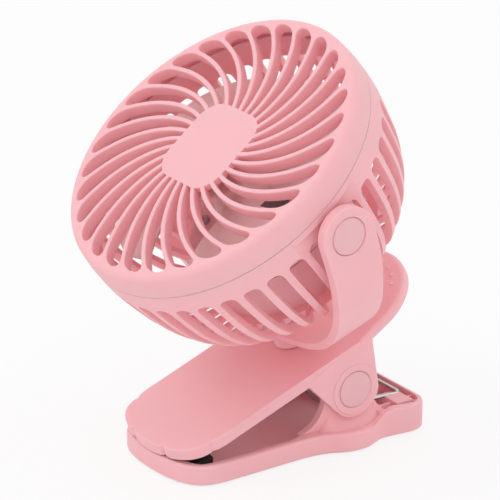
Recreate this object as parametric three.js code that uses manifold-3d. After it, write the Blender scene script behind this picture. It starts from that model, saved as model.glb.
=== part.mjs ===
// Clip fan: a round cage fan on a tilting, swivelling U bracket that stands on a spring clip.
// Units are millimetres. +Z is up, -Y is the front (clip tip and fan face), X runs along the hinges.
import * as THREE from 'three';
import { mergeVertices } from 'three/addons/utils/BufferGeometryUtils.js';
import Module from 'manifold-3d';

const wasm = await Module();
wasm.setup();

// ---------------------------------------------------------------- sizes
const GAP = 0.3;               // clearance between neighbouring pieces
const TIDY = 0.07;             // flat triangles are merged within this distance
const DEG = Math.PI / 180;

// placing of the three tilted frames
const JAW_SLOPE = 19.5;        // slope of the upper jaw, degrees
const SWIVEL_Y = 1.15;         // swivel centre on the upper jaw's top face
const SWIVEL_Z = 42.3;
const HEAD_LEAN = 38.4;        // the face's tilt back from level, degrees
const HINGE_Y = 13.5;          // clip hinge
const HINGE_Z = 25.5;

// fan head, measured from the tilt axis along the head's own axis
const FACE_Z = 25.8;           // outer face of the front grille
const SEAM_Z = 13.85;          // middle of the seam between the two covers
const HEAD_R = 71;             // widest radius of the head
const FACE_EDGE_R = HEAD_R - 4.1;  // where the face starts to round over
const SIDE_WALL = 2.7;
const RIB_DEPTH = 6;           // depth of the front ribs
const RIB_COUNT = 30;
const RIB_WIDTH = 2.1;
const RIB_SWIRL = 0.68;        // degrees of swirl per millimetre of radius
const SLOT_OUT_R = HEAD_R - 4.7;
const SLOT_IN_R = 14;
const SLOT_END = 4.6;          // length of a slot's rounded outer end
const BADGE_W = 38.4;
const BADGE_H = 40.4;
const BADGE_CORNER = 11;
const BADGE_THICK = 3.2;
const FACE_SEGMENTS = 60;

const BACK_Z = -46;            // outer face of the rear cover's back
const BACK_WALL = 2.4;
const LIP_WALL = 1.5;
const LIP_LENGTH = 3.2;
const CAGE_PITCH = 9;          // degrees from one rear slot to the next
const CAGE_SLOT = 6.3;         // degrees of one rear slot
const CAGE_SKIP = 0;           // slots left out on each side of the one over a pivot
const CAGE_TOP_Z = 4.6;        // front end of the rear slots
const FLAT_X = HEAD_R - 2.5;   // flat pad around each tilt pivot
const FLAT_FRONT_Z = 11;
const FLAT_BACK_Z = -24;
const BOSS_R = 6.2;
const BOSS_X = HEAD_R + 0.9;
const INNER_BOSS_R = 5;
const INNER_BOSS_X = FLAT_X - 9;

const BATTERY_R = 9.2;
const BATTERY_LENGTH = 65;
const BATTERY_Y = -2;
const BATTERY_Z = BACK_Z + BACK_WALL + BATTERY_R + 0.2;
const CONTACT_THICK = 0.6;
const CONTACT_W = 12;
const CONTACT_H = 14;
const DOOR_W = BATTERY_LENGTH + 4;
const DOOR_H = 20;
const DOOR_TAB_W = 12;
const DOOR_TAB = 8;
const DOOR_TAB_THICK = 1;
const DRUM_IN = BATTERY_LENGTH / 2 + 4;  // housing for the battery and the board
const DRUM_WALL = 2;
const DRUM_R = DRUM_IN + DRUM_WALL;
const DRUM_FRONT_Z = -23;
const CAGE_IN_R = DRUM_R + 4.5;  // inner end of the rear slots on the back
const POST_R = 3;
const POST_RADIUS = DRUM_IN - 5;
const POST_ANGLES = [90, 210, 330];
const PLATE_THICK = 2;         // motor plate
const MOTOR_R = 12;
const MOTOR_LENGTH = 15.4;
const MOTOR_NOSE_R = 4;
const MOTOR_NOSE = 1.6;
const SHAFT_R = 1.15;
const SHAFT_FRONT_Z = 11;
const HUB_R = 17;
const HUB_WALL = 1.8;
const HUB_BACK_Z = -3;
const HUB_FRONT_Z = 12.4;
const HUB_POST_R = 4;
const BLADE_COUNT = 4;
const BLADE_R = HEAD_R - 14;
const BLADE_THICK = 1.6;
const BLADE_HALF = 36;         // half the angle that a blade covers
const BLADE_RISE = 13;         // how far a blade climbs from edge to edge
const BLADE_MID_Z = 4.5;
const BLADE_START = 37;        // angle of the first blade

const BOARD_W = 40;
const BOARD_Y0 = 12;
const BOARD_Y1 = 27;
const BOARD_Z = -40;
const BOARD_THICK = 1.6;
const CONTROL_Y = 20;          // row of the button, the lamp and the socket
const BUTTON_R = 4.6;
const BUTTON_PROUD = 1.2;
const LAMP_X = BOARD_W / 2 - 9.5;
const LAMP_R = 1.3;
const SOCKET_X = -LAMP_X;
const SOCKET_W = 7.6;
const SOCKET_H = 2.9;

// U bracket, in the frame of the upper jaw's top face
const HEAD_ROOM = 2;           // from the head's side to the U's inside
const ARM_THICK = 4.6;
const ARM_IN_X = HEAD_R + HEAD_ROOM;
const ARM_OUT_X = ARM_IN_X + ARM_THICK;
const CRADLE_IN = HEAD_R + HEAD_ROOM;  // the U's inside below the tilt axis
const CRADLE_FLOOR = 10;       // the U's floor above the upper jaw's top face
const TILT_HEIGHT = CRADLE_FLOOR + CRADLE_IN;
const CRADLE_WALL = 3;
const ARM_STRAIGHT = 11;       // straight length of an arm below the tilt axis
const ARM_TOP_R = 13.3;
const CAP_R = 8.1;
const CAP_DOME = 0.7;
const CAP_THICK = 1.2;
const ARM_WEB = 1.6;           // plastic left under the cap
const FOOT_R = 8.4;            // round foot of the bracket
const FOOT_LIFT = 0.4;
const SWIVEL_R = 2;
const SWIVEL_HEAD_R = 4.4;
const TILT_SCREW_R = 1.9;
const TILT_HEAD_R = 3.6;
const WASHER_R = BOSS_R - 0.2;
const WASHER_THICK = 0.6;

// clip
const JAW_HALF = 29.6;         // half width of the upper jaw
const JAW_FRONT = 83.2;        // swivel centre to the tip
const JAW_PLATE = 3;
const JAW_SKIRT = 5.2;
const JAW_WALL = 2.6;
const JAW_ROUND = 2;
const HANDLE_BEND = 12.5;      // the handle rises by this angle
const HANDLE_START = 12.5;
const HANDLE_END_R = JAW_HALF;
const HANDLE_CENTRE = 18.2;
const HANDLE_SKIRT = 4.6;
const GRIP_R = HANDLE_END_R - 6.2;
const GRIP_STEP = 13.6;
const GRIP_COUNT = 8;
const GRIP_SIZE = 0.95;
const EAR_THICK = 3.4;
const EAR_R = 12.8;
const EAR_BOSS_R = 11.6;
const EAR_BOSS = 0.5;
const HINGE_CAP_R = 8.3;
const HINGE_CAP_THICK = 1;
const PIN_R = 2.5;
const BASE_EAR_R = 13.4;
const BASE_RIM_Z = 9.2;
const BASE_REAR_Z = 13.5;
const BASE_FLOOR = 3;
const BASE_WALL = 3.2;
const BASE_HALF_W = JAW_HALF + 1.5;    // half width of the base beside the mouth
const BASE_FRONT_Y = SWIVEL_Y - JAW_FRONT * Math.cos(JAW_SLOPE * DEG) + 2.3;
const BASE_REAR_Y = 50.6;
const REAR_WALL = 2;           // rim of the rear tray
const RIB_HALF = 0.6;          // half thickness of the tray's ribs
const LAND_W = 9.6;            // land beside the spring's cross leg
const BASE_EAR_OUT = JAW_HALF - EAR_THICK - GAP;
const BASE_EAR_IN = BASE_EAR_OUT - EAR_THICK;
const BASE_ROUND = 1.6;
const FOOT_PAD_R = 4.5;
const FOOT_PAD_SINK = 1;
const FOOT_PAD_PROUD = 0.6;
const PAD_HALF = 20;
const PAD_LENGTH = 15;         // lower pad, front to back
const PAD_CORNER = 3;
const WEDGE_LENGTH = 12.8;     // upper pad, front to back
const WEDGE_DEPTH = 12.2;      // its lowest edge below the jaw's top face
const PAD_FROM_TIP = 7.6;      // the upper pad's front edge behind the jaw's tip
const PAD_TOP_Z = 7.6;

// torsion spring
const WIRE_R = 0.9;
const COIL_R = 12.2;
const COIL_START = -92;        // angle at which the rear leg meets the coil, degrees
const COIL_SWEEP = 1493;       // from the rear leg to the free leg, degrees
const COIL_PITCH = 2.35;
const FREE_LEG = 15;
const COIL_OUT_X = BASE_EAR_IN - 3.1;
const COIL_STEPS = 8;
const WIRE_SIDES = 5;
const SPRING_REAR_Y = BASE_REAR_Y - 4.4;
const SPRING_REAR_Z = BASE_REAR_Z - 1.3;

// ---------------------------------------------------------------- looks
function plastic(color, roughness = 0.55) {
  return new THREE.MeshStandardMaterial({ color, roughness, metalness: 0 });
}
function metal(color, roughness = 0.3) {
  return new THREE.MeshStandardMaterial({ color, roughness, metalness: 1 });
}
const PINK = '#f3b3ba';
const PINK_BLADE = '#ecc4c3';
const BLACK = '#1d1b1c';
const STEEL = '#b9bcc0';

// ---------------------------------------------------------------- shape helpers
function solid(geometry) {
  const bare = geometry.clone();
  bare.deleteAttribute('normal');
  bare.deleteAttribute('uv');
  const merged = mergeVertices(bare, 1e-4);
  const from = merged.index.array;
  const p = merged.attributes.position;
  let triangles = [];
  let volume = 0;
  const a = new THREE.Vector3();
  const b = new THREE.Vector3();
  const c = new THREE.Vector3();
  for (let i = 0; i < from.length; i += 3) {
    const [u, v, w] = [from[i], from[i + 1], from[i + 2]];
    if (u === v || v === w || w === u) continue;
    triangles.push([u, v, w]);
    volume += a.fromBufferAttribute(p, u).dot(
      b.fromBufferAttribute(p, v).cross(c.fromBufferAttribute(p, w)));
  }
  if (volume < 0) triangles = triangles.map(([u, v, w]) => [u, w, v]);
  return new wasm.Manifold(new wasm.Mesh({
    numProp: 3,
    vertProperties: new Float32Array(p.array),
    triVerts: new Uint32Array(triangles.flat()),
  }));
}

function join(first, ...rest) {
  return rest.reduce((sum, piece) => sum.add(piece), first);
}
function cut(first, ...rest) {
  return rest.reduce((sum, piece) => sum.subtract(piece), first);
}

function moved(geometry, matrix) {
  return matrix ? geometry.applyMatrix4(matrix) : geometry;
}

// profile of [radius, height] pairs turned about Z
function turned(profile, segments, matrix) {
  const loop = [...profile, profile[0]].map(([r, z]) => new THREE.Vector2(r, z));
  const geometry = new THREE.LatheGeometry(loop, segments);
  geometry.rotateX(Math.PI / 2);
  return solid(moved(geometry, matrix));
}

// a solid through rings of the same number of points, one above the other
function stacked(points, count) {
  const faces = [];
  const rings = points.length / count;
  for (let i = 1; i < count - 1; i += 1) {
    const last = (rings - 1) * count;
    faces.push(0, i + 1, i, last, last + i, last + i + 1);
  }
  for (let level = 0; level < rings - 1; level += 1) {
    for (let i = 0; i < count; i += 1) {
      const low = level * count + i;
      const next = level * count + (i + 1) % count;
      faces.push(low, next, next + count, low, next + count, low + count);
    }
  }
  const geometry = new THREE.BufferGeometry();
  geometry.setAttribute('position', new THREE.BufferAttribute(new Float32Array(points.flat()), 3));
  geometry.setIndex(faces);
  return solid(geometry);
}
function rod(radius, z0, z1, segments = 20, matrix = null) {
  const geometry = new THREE.CylinderGeometry(radius, radius, z1 - z0, segments);
  geometry.rotateX(Math.PI / 2);
  geometry.translate(0, 0, (z0 + z1) / 2);
  return solid(moved(geometry, matrix));
}

function block(x0, x1, y0, y1, z0, z1, matrix = null) {
  const geometry = new THREE.BoxGeometry(x1 - x0, y1 - y0, z1 - z0);
  geometry.translate((x0 + x1) / 2, (y0 + y1) / 2, (z0 + z1) / 2);
  return solid(moved(geometry, matrix));
}

// outline of [x, y] points pulled up from z0 to z1, its edges rounded by the given amount
function slab(points, z0, z1, round = 0, matrix = null, steps = 3) {
  const shape = new THREE.Shape(points.map(([x, y]) => new THREE.Vector2(x, y)));
  const geometry = new THREE.ExtrudeGeometry(shape, {
    depth: z1 - z0 - 2 * round,
    bevelEnabled: round > 0,
    bevelThickness: round,
    bevelSize: round,
    bevelOffset: -round,
    bevelSegments: steps,
    steps: 1,
  });
  geometry.translate(0, 0, z0 + round);
  return solid(moved(geometry, matrix));
}

// matrices that lay a Z-built shape along X: outline [x, y] becomes [y, z]
const ALONG_X = new THREE.Matrix4().set(0, 0, 1, 0, 1, 0, 0, 0, 0, 1, 0, 0, 0, 0, 0, 1);
// outline [x, y] becomes [x, z], pulled towards -Y
const ALONG_Y = new THREE.Matrix4().makeRotationX(Math.PI / 2);

function at(x, y, z) {
  return new THREE.Matrix4().makeTranslation(x, y, z);
}
function after(...matrices) {
  return matrices.reduce((sum, m) => sum.multiply(m), new THREE.Matrix4());
}
function arc(cx, cy, r, from, to, steps) {
  return Array.from({ length: steps + 1 }, (_, i) => {
    const t = (from + (to - from) * i / steps) * DEG;
    return [cx + r * Math.cos(t), cy + r * Math.sin(t)];
  });
}
function roundedBox(w, h, r, steps = 5) {
  const x = w / 2 - r;
  const y = h / 2 - r;
  return [
    ...arc(x, y, r, 0, 90, steps),
    ...arc(-x, y, r, 90, 180, steps),
    ...arc(-x, -y, r, 180, 270, steps),
    ...arc(x, -y, r, 270, 360, steps),
  ];
}
function mirrored(half) {
  return [...half, ...half.slice().reverse().filter(([x]) => x > 0).map(([x, y]) => [-x, y])];
}
// smooth line through the given points
function smooth(points, steps) {
  const curve = new THREE.SplineCurve(points.map(([x, y]) => new THREE.Vector2(x, y)));
  return curve.getPoints(steps).map((p) => [p.x, p.y]);
}

// frames
const SEAT = after(at(0, SWIVEL_Y, SWIVEL_Z), new THREE.Matrix4().makeRotationX(JAW_SLOPE * DEG));
const TILT_POINT = new THREE.Vector3(0, 0, TILT_HEIGHT).applyMatrix4(SEAT);
const HEAD = after(at(TILT_POINT.x, TILT_POINT.y, TILT_POINT.z),
  new THREE.Matrix4().makeRotationX(HEAD_LEAN * DEG));
const HINGE_IN_SEAT = new THREE.Vector3(0, HINGE_Y, HINGE_Z).applyMatrix4(SEAT.clone().invert());

const fan = new THREE.Group();
fan.name = 'clip_fan';
function add(name, shape, material, frame = null) {
  const out = shape.asOriginal().simplify(TIDY).getMesh();
  const geometry = new THREE.BufferGeometry();
  geometry.setAttribute('position', new THREE.BufferAttribute(new Float32Array(out.vertProperties), 3));
  geometry.setIndex(new THREE.BufferAttribute(new Uint32Array(out.triVerts), 1));
  geometry.computeVertexNormals();
  const mesh = new THREE.Mesh(geometry, material);
  mesh.name = name;
  if (frame) mesh.applyMatrix4(frame);
  fan.add(mesh);
}
function addEach(name, shapes, material, frame) {
  shapes.forEach((shape, i) => add(`${name}_${i + 1}`, shape, material.clone(), frame));
}

// ---------------------------------------------------------------- front grille
function spiralSlot(angle) {
  const steps = 5;
  const endSteps = 3;
  const bodyEnd = SLOT_OUT_R - SLOT_END;
  const rows = [];
  for (let i = 0; i <= steps; i += 1) rows.push([SLOT_IN_R + (bodyEnd - SLOT_IN_R) * i / steps, 1]);
  for (let i = 1; i < endSteps; i += 1) {
    const t = i / endSteps * Math.PI / 2;
    rows.push([bodyEnd + SLOT_END * Math.sin(t), Math.cos(t)]);
  }
  const left = [];
  const right = [];
  for (const [r, share] of rows) {
    const lean = Math.atan(r * RIB_SWIRL * DEG);
    const rib = RIB_WIDTH / (r * Math.cos(lean)) / DEG;
    const half = (360 / RIB_COUNT - rib) / 2 * share;
    const mid = angle + RIB_SWIRL * r;
    left.push([r * Math.cos((mid + half) * DEG), r * Math.sin((mid + half) * DEG)]);
    right.push([r * Math.cos((mid - half) * DEG), r * Math.sin((mid - half) * DEG)]);
  }
  const tip = (angle + RIB_SWIRL * SLOT_OUT_R) * DEG;
  return [...right, [SLOT_OUT_R * Math.cos(tip), SLOT_OUT_R * Math.sin(tip)], ...left.reverse()];
}

function frontGrille() {
  const back = SEAM_Z + GAP / 2;
  const ribBack = FACE_Z - RIB_DEPTH;
  const wallIn = HEAD_R - SIDE_WALL;
  const body = turned([
    [0, ribBack], [wallIn, ribBack], [wallIn, back], [HEAD_R, back],
    [HEAD_R - 1, FACE_Z - 2.2], [HEAD_R - 2.1, FACE_Z - 0.6], [FACE_EDGE_R, FACE_Z], [0, FACE_Z],
  ], FACE_SEGMENTS);
  const slots = Array.from({ length: RIB_COUNT }, (_, i) =>
    slab(spiralSlot(i * 360 / RIB_COUNT), ribBack - 1, FACE_Z + 1));
  const badge = slab(roundedBox(BADGE_W, BADGE_H, BADGE_CORNER), FACE_Z - BADGE_THICK, FACE_Z);
  return join(cut(body, ...slots), badge);
}

// ---------------------------------------------------------------- rear cover
// outside of the rear cover, [radius, z] from the seam to the back
const COVER_OUT = [
  [HEAD_R, SEAM_Z - GAP / 2], [HEAD_R, 4], [HEAD_R - 3, BACK_Z + 32], [HEAD_R - 7.4, BACK_Z + 17],
  [HEAD_R - 14, BACK_Z + 7], [HEAD_R - 22.5, BACK_Z + 1.2], [HEAD_R - 29, BACK_Z], [0, BACK_Z],
];
const COVER_IN = [
  [0, BACK_Z + BACK_WALL], [HEAD_R - 32, BACK_Z + BACK_WALL], [HEAD_R - 22.5, BACK_Z + 6],
  [HEAD_R - 11.6, BACK_Z + 18], [HEAD_R - 6, BACK_Z + 36], [HEAD_R - 4.3, 4],
];

function cageSlot(angle) {
  const half = CAGE_SLOT / 2;
  const corner = 3;
  const reach = HEAD_R + 4;
  const wide = (r) => r * Math.tan(half * DEG);
  const w = wide(reach);
  const outline = [
    [-w, BACK_Z - 4], [w, BACK_Z - 4],
    ...arc(w - corner, CAGE_TOP_Z - corner, corner, 0, 90, 2),
    ...arc(corner - w, CAGE_TOP_Z - corner, corner, 90, 180, 2),
  ];
  const shape = new THREE.Shape(outline.map(([x, y]) => new THREE.Vector2(x, y)));
  const geometry = new THREE.ExtrudeGeometry(shape, { depth: 1, bevelEnabled: false, steps: 1 });
  const p = geometry.attributes.position;
  const turn = angle * DEG;
  for (let i = 0; i < p.count; i += 1) {
    const r = CAGE_IN_R + (reach - CAGE_IN_R) * p.getZ(i);
    const t = p.getX(i) * r / reach;
    p.setXYZ(i, r * Math.cos(turn) - t * Math.sin(turn), r * Math.sin(turn) + t * Math.cos(turn),
      p.getY(i));
  }
  return solid(geometry);
}

function rearCover() {
  const lipOut = HEAD_R - SIDE_WALL - GAP;
  const lipIn = lipOut - LIP_WALL;
  const seam = SEAM_Z - GAP / 2;
  const shell = turned([
    ...COVER_OUT, ...COVER_IN, [lipIn, 8.5], [lipIn, seam + LIP_LENGTH], [lipOut, seam + LIP_LENGTH],
    [lipOut, seam],
  ], 360 / CAGE_PITCH);
  const count = 360 / CAGE_PITCH;
  const slots = [];
  for (let i = 0; i < count; i += 1) {
    const fromPivot = Math.min(i % (count / 2), (count / 2) - (i % (count / 2)));
    if (fromPivot > CAGE_SKIP) slots.push(cageSlot(i * CAGE_PITCH));
  }
  let cover = cut(shell, ...slots);
  const floor = BACK_Z + BACK_WALL - 0.2;
  cover = join(cover, cut(rod(DRUM_R, floor, DRUM_FRONT_Z, 24), rod(DRUM_IN, floor - 1, 0, 24)));
  for (const side of [1, -1]) {
    const turn = side > 0 ? ALONG_X : after(new THREE.Matrix4().makeRotationZ(Math.PI), ALONG_X);
    const beyond = HEAD_R + 9;
    cover = cut(cover, block(side > 0 ? FLAT_X : -beyond, side > 0 ? beyond : -FLAT_X, -30, 30,
      FLAT_BACK_Z, FLAT_FRONT_Z));
    cover = join(cover, rod(BOSS_R, FLAT_X - 2, BOSS_X, 20, turn), rod(INNER_BOSS_R, INNER_BOSS_X,
      FLAT_X, 16, turn));
    cover = cut(cover, rod(TILT_SCREW_R + GAP, INNER_BOSS_X - 1, beyond, 16, turn));
  }
  for (const angle of POST_ANGLES) {
    const x = POST_RADIUS * Math.cos(angle * DEG);
    const y = POST_RADIUS * Math.sin(angle * DEG);
    cover = join(cover, rod(POST_R, floor, DRUM_FRONT_Z, 12, at(x, y, 0)));
    cover = cut(cover, rod(1.5, DRUM_FRONT_Z - 8, DRUM_FRONT_Z + 1, 10, at(x, y, 0)));
  }
  for (const x of [-BOARD_W / 2 + 4, BOARD_W / 2 - 4]) {
    cover = join(cover, rod(2.4, floor, BOARD_Z - GAP, 12, at(x, BOARD_Y1 - 3.5, 0)));
    cover = cut(cover, rod(1.1, BOARD_Z - 3, BOARD_Z, 10, at(x, BOARD_Y1 - 3.5, 0)));
  }
  const doorPost = rod(3.2, floor, BACK_Z + BACK_WALL + 5, 14, at(0, doorScrewY(), 0));
  cover = join(cover, doorPost);
  cover = cut(cover,
    slab(roundedBox(DOOR_W, DOOR_H, 3, 4), BACK_Z - 1, BACK_Z + BACK_WALL + 0.05, 0, at(0, BATTERY_Y, 0)),
    doorTab(0, 1, DOOR_TAB_THICK + GAP),
    rod(1.3, BACK_Z - 1, BACK_Z + BACK_WALL + 5, 16, at(0, doorScrewY(), 0)),
    rod(BUTTON_R + GAP, BACK_Z - 1, BACK_Z + BACK_WALL + 1, 20, at(0, CONTROL_Y, 0)),
    rod(LAMP_R + GAP, BACK_Z - 1, BACK_Z + BACK_WALL + 1, 16, at(LAMP_X, CONTROL_Y, 0)),
    slab(roundedBox(SOCKET_W + 2 * GAP, SOCKET_H + 2 * GAP, 1.2, 3), BACK_Z - 1,
      BACK_Z + BACK_WALL + 1, 0, at(SOCKET_X, CONTROL_Y, 0)));
  return cover;
}

function doorScrewY() {
  return BATTERY_Y - DOOR_H / 2 - DOOR_TAB / 2 - 0.5;
}
function doorTab(inset, below, depth) {
  const w = DOOR_TAB_W / 2 - inset;
  return block(-w, w, BATTERY_Y - DOOR_H / 2 - DOOR_TAB + inset, BATTERY_Y - DOOR_H / 2 + 2,
    BACK_Z - below, BACK_Z + depth);
}

// ---------------------------------------------------------------- rotor
function blade(angle) {
  const across = 5;
  const out = 4;
  const geometry = new THREE.BoxGeometry(1, 1, 1, out, across, 1);
  const p = geometry.attributes.position;
  for (let i = 0; i < p.count; i += 1) {
    const u = p.getX(i) + 0.5;
    const v = p.getY(i) + 0.5;
    const side = 2 * v - 1;
    const tip = BLADE_R - 6 * Math.abs(side) ** 3;
    const r = HUB_R - 1.2 + (tip - HUB_R + 1.2) * u;
    const half = BLADE_HALF * (0.8 + 0.32 * u - 0.12 * u * u);
    const turn = (angle + half * side + 16 * u * u) * DEG;
    const camber = -2.4 * (1 - side * side) * (0.5 + 0.5 * u);
    const z = BLADE_MID_Z + BLADE_RISE / 2 * side * (1 - 0.2 * u) - camber + p.getZ(i) * BLADE_THICK;
    p.setXYZ(i, r * Math.cos(turn), r * Math.sin(turn), z);
  }
  return solid(geometry);
}

function fanBlade() {
  const hub = turned([
    [HUB_R, HUB_BACK_Z], [HUB_R, HUB_FRONT_Z - 2], [HUB_R - 2, HUB_FRONT_Z], [0, HUB_FRONT_Z],
    [0, HUB_FRONT_Z - HUB_WALL], [HUB_R - HUB_WALL, HUB_FRONT_Z - HUB_WALL], [HUB_R - HUB_WALL, HUB_BACK_Z],
  ], 28);
  const post = rod(HUB_POST_R, -2, HUB_FRONT_Z - 0.5, 16);
  const blades = Array.from({ length: BLADE_COUNT }, (_, i) => blade(BLADE_START + i * 360 / BLADE_COUNT));
  const bore = rod(SHAFT_R + 0.1, -4, SHAFT_FRONT_Z + GAP, 16);
  const inside = rod(HUB_R - HUB_WALL, HUB_BACK_Z - 3, HUB_FRONT_Z - HUB_WALL, 28);
  const trimmed = blades.map((piece) => piece.subtract(inside));
  return cut(join(hub, post, ...trimmed), bore);
}

// ---------------------------------------------------------------- U bracket
// side edges of the bracket: [y, height as a share of the tilt axis's], from the top down in front
const YOKE_FRONT = [
  [-ARM_TOP_R, 1], [-13.4, 0.916], [-13.9, 0.795], [-14.4, 0.675], [-14.2, 0.554], [-13.2, 0.422],
  [-11.6, 0.289], [-9.6, 0.175], [-8.6, 0.072],
].map(([y, share]) => [y, share * TILT_HEIGHT]);
const YOKE_REAR = [
  [9.5, 0.072], [12.6, 0.157], [14.6, 0.265], [15.2, 0.41], [14.9, 0.554], [14.3, 0.699],
  [13.6, 0.843], [ARM_TOP_R, 1],
].map(([y, share]) => [y, share * TILT_HEIGHT]);

function yoke() {
  const steps = 20;
  const ring = (a, b, from, to) => Array.from({ length: steps + 1 }, (_, i) => {
    const t = (from + (to - from) * i / steps) * DEG;
    return [a * Math.cos(t), TILT_HEIGHT - ARM_STRAIGHT + b * Math.sin(t)];
  });
  const deep = CRADLE_IN - ARM_STRAIGHT;
  const top = TILT_HEIGHT + ARM_TOP_R + 4;
  const section = [
    [-ARM_OUT_X, top], ...ring(ARM_OUT_X, deep + CRADLE_WALL, 180, 360), [ARM_OUT_X, top],
    [ARM_IN_X, top], ...ring(ARM_IN_X, deep, 360, 180), [-ARM_IN_X, top],
  ];
  const reach = 2 * ARM_TOP_R;
  const band = slab(section, -reach, reach, 0, ALONG_Y);
  const outline = [
    ...arc(0, TILT_HEIGHT, ARM_TOP_R, 0, 180, 10), ...smooth(YOKE_FRONT, 7).slice(1),
    ...smooth(YOKE_REAR, 7).slice(0, -1),
  ];
  const side = slab(outline, -ARM_OUT_X - 5, ARM_OUT_X + 5, 0, ALONG_X);
  const floorIn = CRADLE_FLOOR;
  let shape = join(band.intersect(side), turned([
    [0, FOOT_LIFT], [FOOT_R - 0.8, FOOT_LIFT], [FOOT_R, FOOT_LIFT + 0.8], [FOOT_R - 1.4, floorIn - 1.6],
    [0, floorIn - 1.6],
  ], 24));
  const capDeep = ARM_OUT_X - ARM_IN_X - ARM_WEB;
  for (const x of [1, -1]) {
    const out = x * ARM_OUT_X;
    const lie = after(at(out, 0, TILT_HEIGHT), new THREE.Matrix4().makeRotationY(-x * Math.PI / 2));
    shape = cut(shape, rod(CAP_R + GAP, -1, capDeep, 20, lie), rod(TILT_SCREW_R + GAP, -1, 12, 16, lie));
  }
  return cut(shape, rod(SWIVEL_R + GAP, -1, 20, 16), rod(SWIVEL_HEAD_R + GAP, floorIn - 4, floorIn + 6, 20));
}

// ---------------------------------------------------------------- upper jaw
// half outline of the jaw's front, [x, y] in the seat frame, from the middle lobe outwards
function jawOutline(half, front) {
  const notch = 11.2;
  const sideNotch = -front + 16.2;
  return [
    [0, -front], [notch - 4.5, -front + 0.5], [notch - 1.4, -front + 1.3], [notch, -front + 2.9],
    [notch + 1.3, -front + 1.9], [notch + 5, -front + 2.4], [notch + 9.2, -front + 4.2],
    [half - 5.4, -front + 6.7], [half - 2.8, -front + 10], [half - 1.5, sideNotch - 2.4],
    [half - 1.9, sideNotch], [half - 0.6, sideNotch + 1.9], [half, sideNotch + 6], [half, HANDLE_START + 8],
  ];
}

function upperJaw() {
  const bend = after(at(0, HANDLE_START, 0), new THREE.Matrix4().makeRotationX(HANDLE_BEND * DEG));
  const handleOutline = (r) => [[r, -7], ...arc(0, HANDLE_CENTRE, r, 0, 180, 16), [-r, -7]];
  const front = slab(mirrored(jawOutline(JAW_HALF, JAW_FRONT)), -JAW_SKIRT - JAW_ROUND, 0, JAW_ROUND,
    null, 2);
  const handle = slab(handleOutline(HANDLE_END_R), -HANDLE_SKIRT - JAW_ROUND, 0, JAW_ROUND, bend, 2);
  // the outer body is trimmed level below, then hollowed from below
  const level = block(-60, 60, -100, HANDLE_START + 20, -60, -JAW_SKIRT);
  const levelRear = block(-60, 60, -20, 80, -60, -HANDLE_SKIRT, bend.clone());
  const frontCut = cut(front, level, block(-60, 60, HANDLE_START + 3, 80, -60, 10));
  const handleCut = cut(handle, levelRear);
  const hollow = slab(mirrored(jawOutline(JAW_HALF - JAW_WALL, JAW_FRONT - JAW_WALL)), -20, -JAW_PLATE);
  const handleHollow = slab(handleOutline(HANDLE_END_R - JAW_WALL), -20, -JAW_PLATE, 0, bend);
  const hingeY = HINGE_IN_SEAT.y;
  const hingeZ = HINGE_IN_SEAT.z;
  let jaw = cut(join(frontCut, handleCut), hollow, handleHollow);

  // ears down to the hinge
  const earFrontX = HINGE_IN_SEAT.y - 20.8;
  const earTop = -JAW_PLATE + 0.4;
  const lineAngle = Math.atan2(hingeZ + JAW_SKIRT, hingeY - earFrontX) / DEG;
  const spread = Math.asin(EAR_R / Math.hypot(hingeZ + JAW_SKIRT, hingeY - earFrontX)) / DEG;
  const tangent = 180 + 90 + lineAngle - spread;
  const ear = [
    [earFrontX, earTop], [earFrontX, -JAW_SKIRT],
    ...arc(hingeY, hingeZ, EAR_R, tangent, 335, 11),
    [hingeY + EAR_R + 0.4, hingeZ + 3.5], [hingeY + EAR_R + 3.4, earTop + 2.5],
  ];
  for (const x of [1, -1]) {
    const inner = JAW_HALF - EAR_THICK;
    const x0 = x > 0 ? inner : -JAW_HALF;
    const x1 = x > 0 ? JAW_HALF : -inner;
    jaw = join(jaw, slab(ear, x0, x1, 0, ALONG_X));
    const lie = after(at(x * JAW_HALF, hingeY, hingeZ), new THREE.Matrix4().makeRotationY(-x * Math.PI / 2));
    jaw = join(jaw, turned([
      [0, 0.5], [EAR_BOSS_R, 0.5], [EAR_BOSS_R, -EAR_BOSS * 0.4], [EAR_BOSS_R - 0.5, -EAR_BOSS],
      [0, -EAR_BOSS],
    ], 24, lie));
    jaw = cut(jaw, rod(HINGE_CAP_R + GAP, -5, HINGE_CAP_THICK - EAR_BOSS + GAP, 20, lie),
      rod(PIN_R + GAP, -5, 10, 16, lie));
  }
  // grip bumps on the handle
  for (let i = 0; i < GRIP_COUNT; i += 1) {
    const angle = (90 + (i - (GRIP_COUNT - 1) / 2) * GRIP_STEP) * DEG;
    const ball = new THREE.SphereGeometry(GRIP_SIZE, 6, 4);
    ball.scale(1, 1, 0.7);
    ball.translate(GRIP_R * Math.cos(angle), HANDLE_CENTRE + GRIP_R * Math.sin(angle), 0);
    jaw = join(jaw, solid(moved(ball, bend)));
  }
  return cut(jaw, rod(SWIVEL_R + GAP, -10, 5, 16));
}

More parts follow.
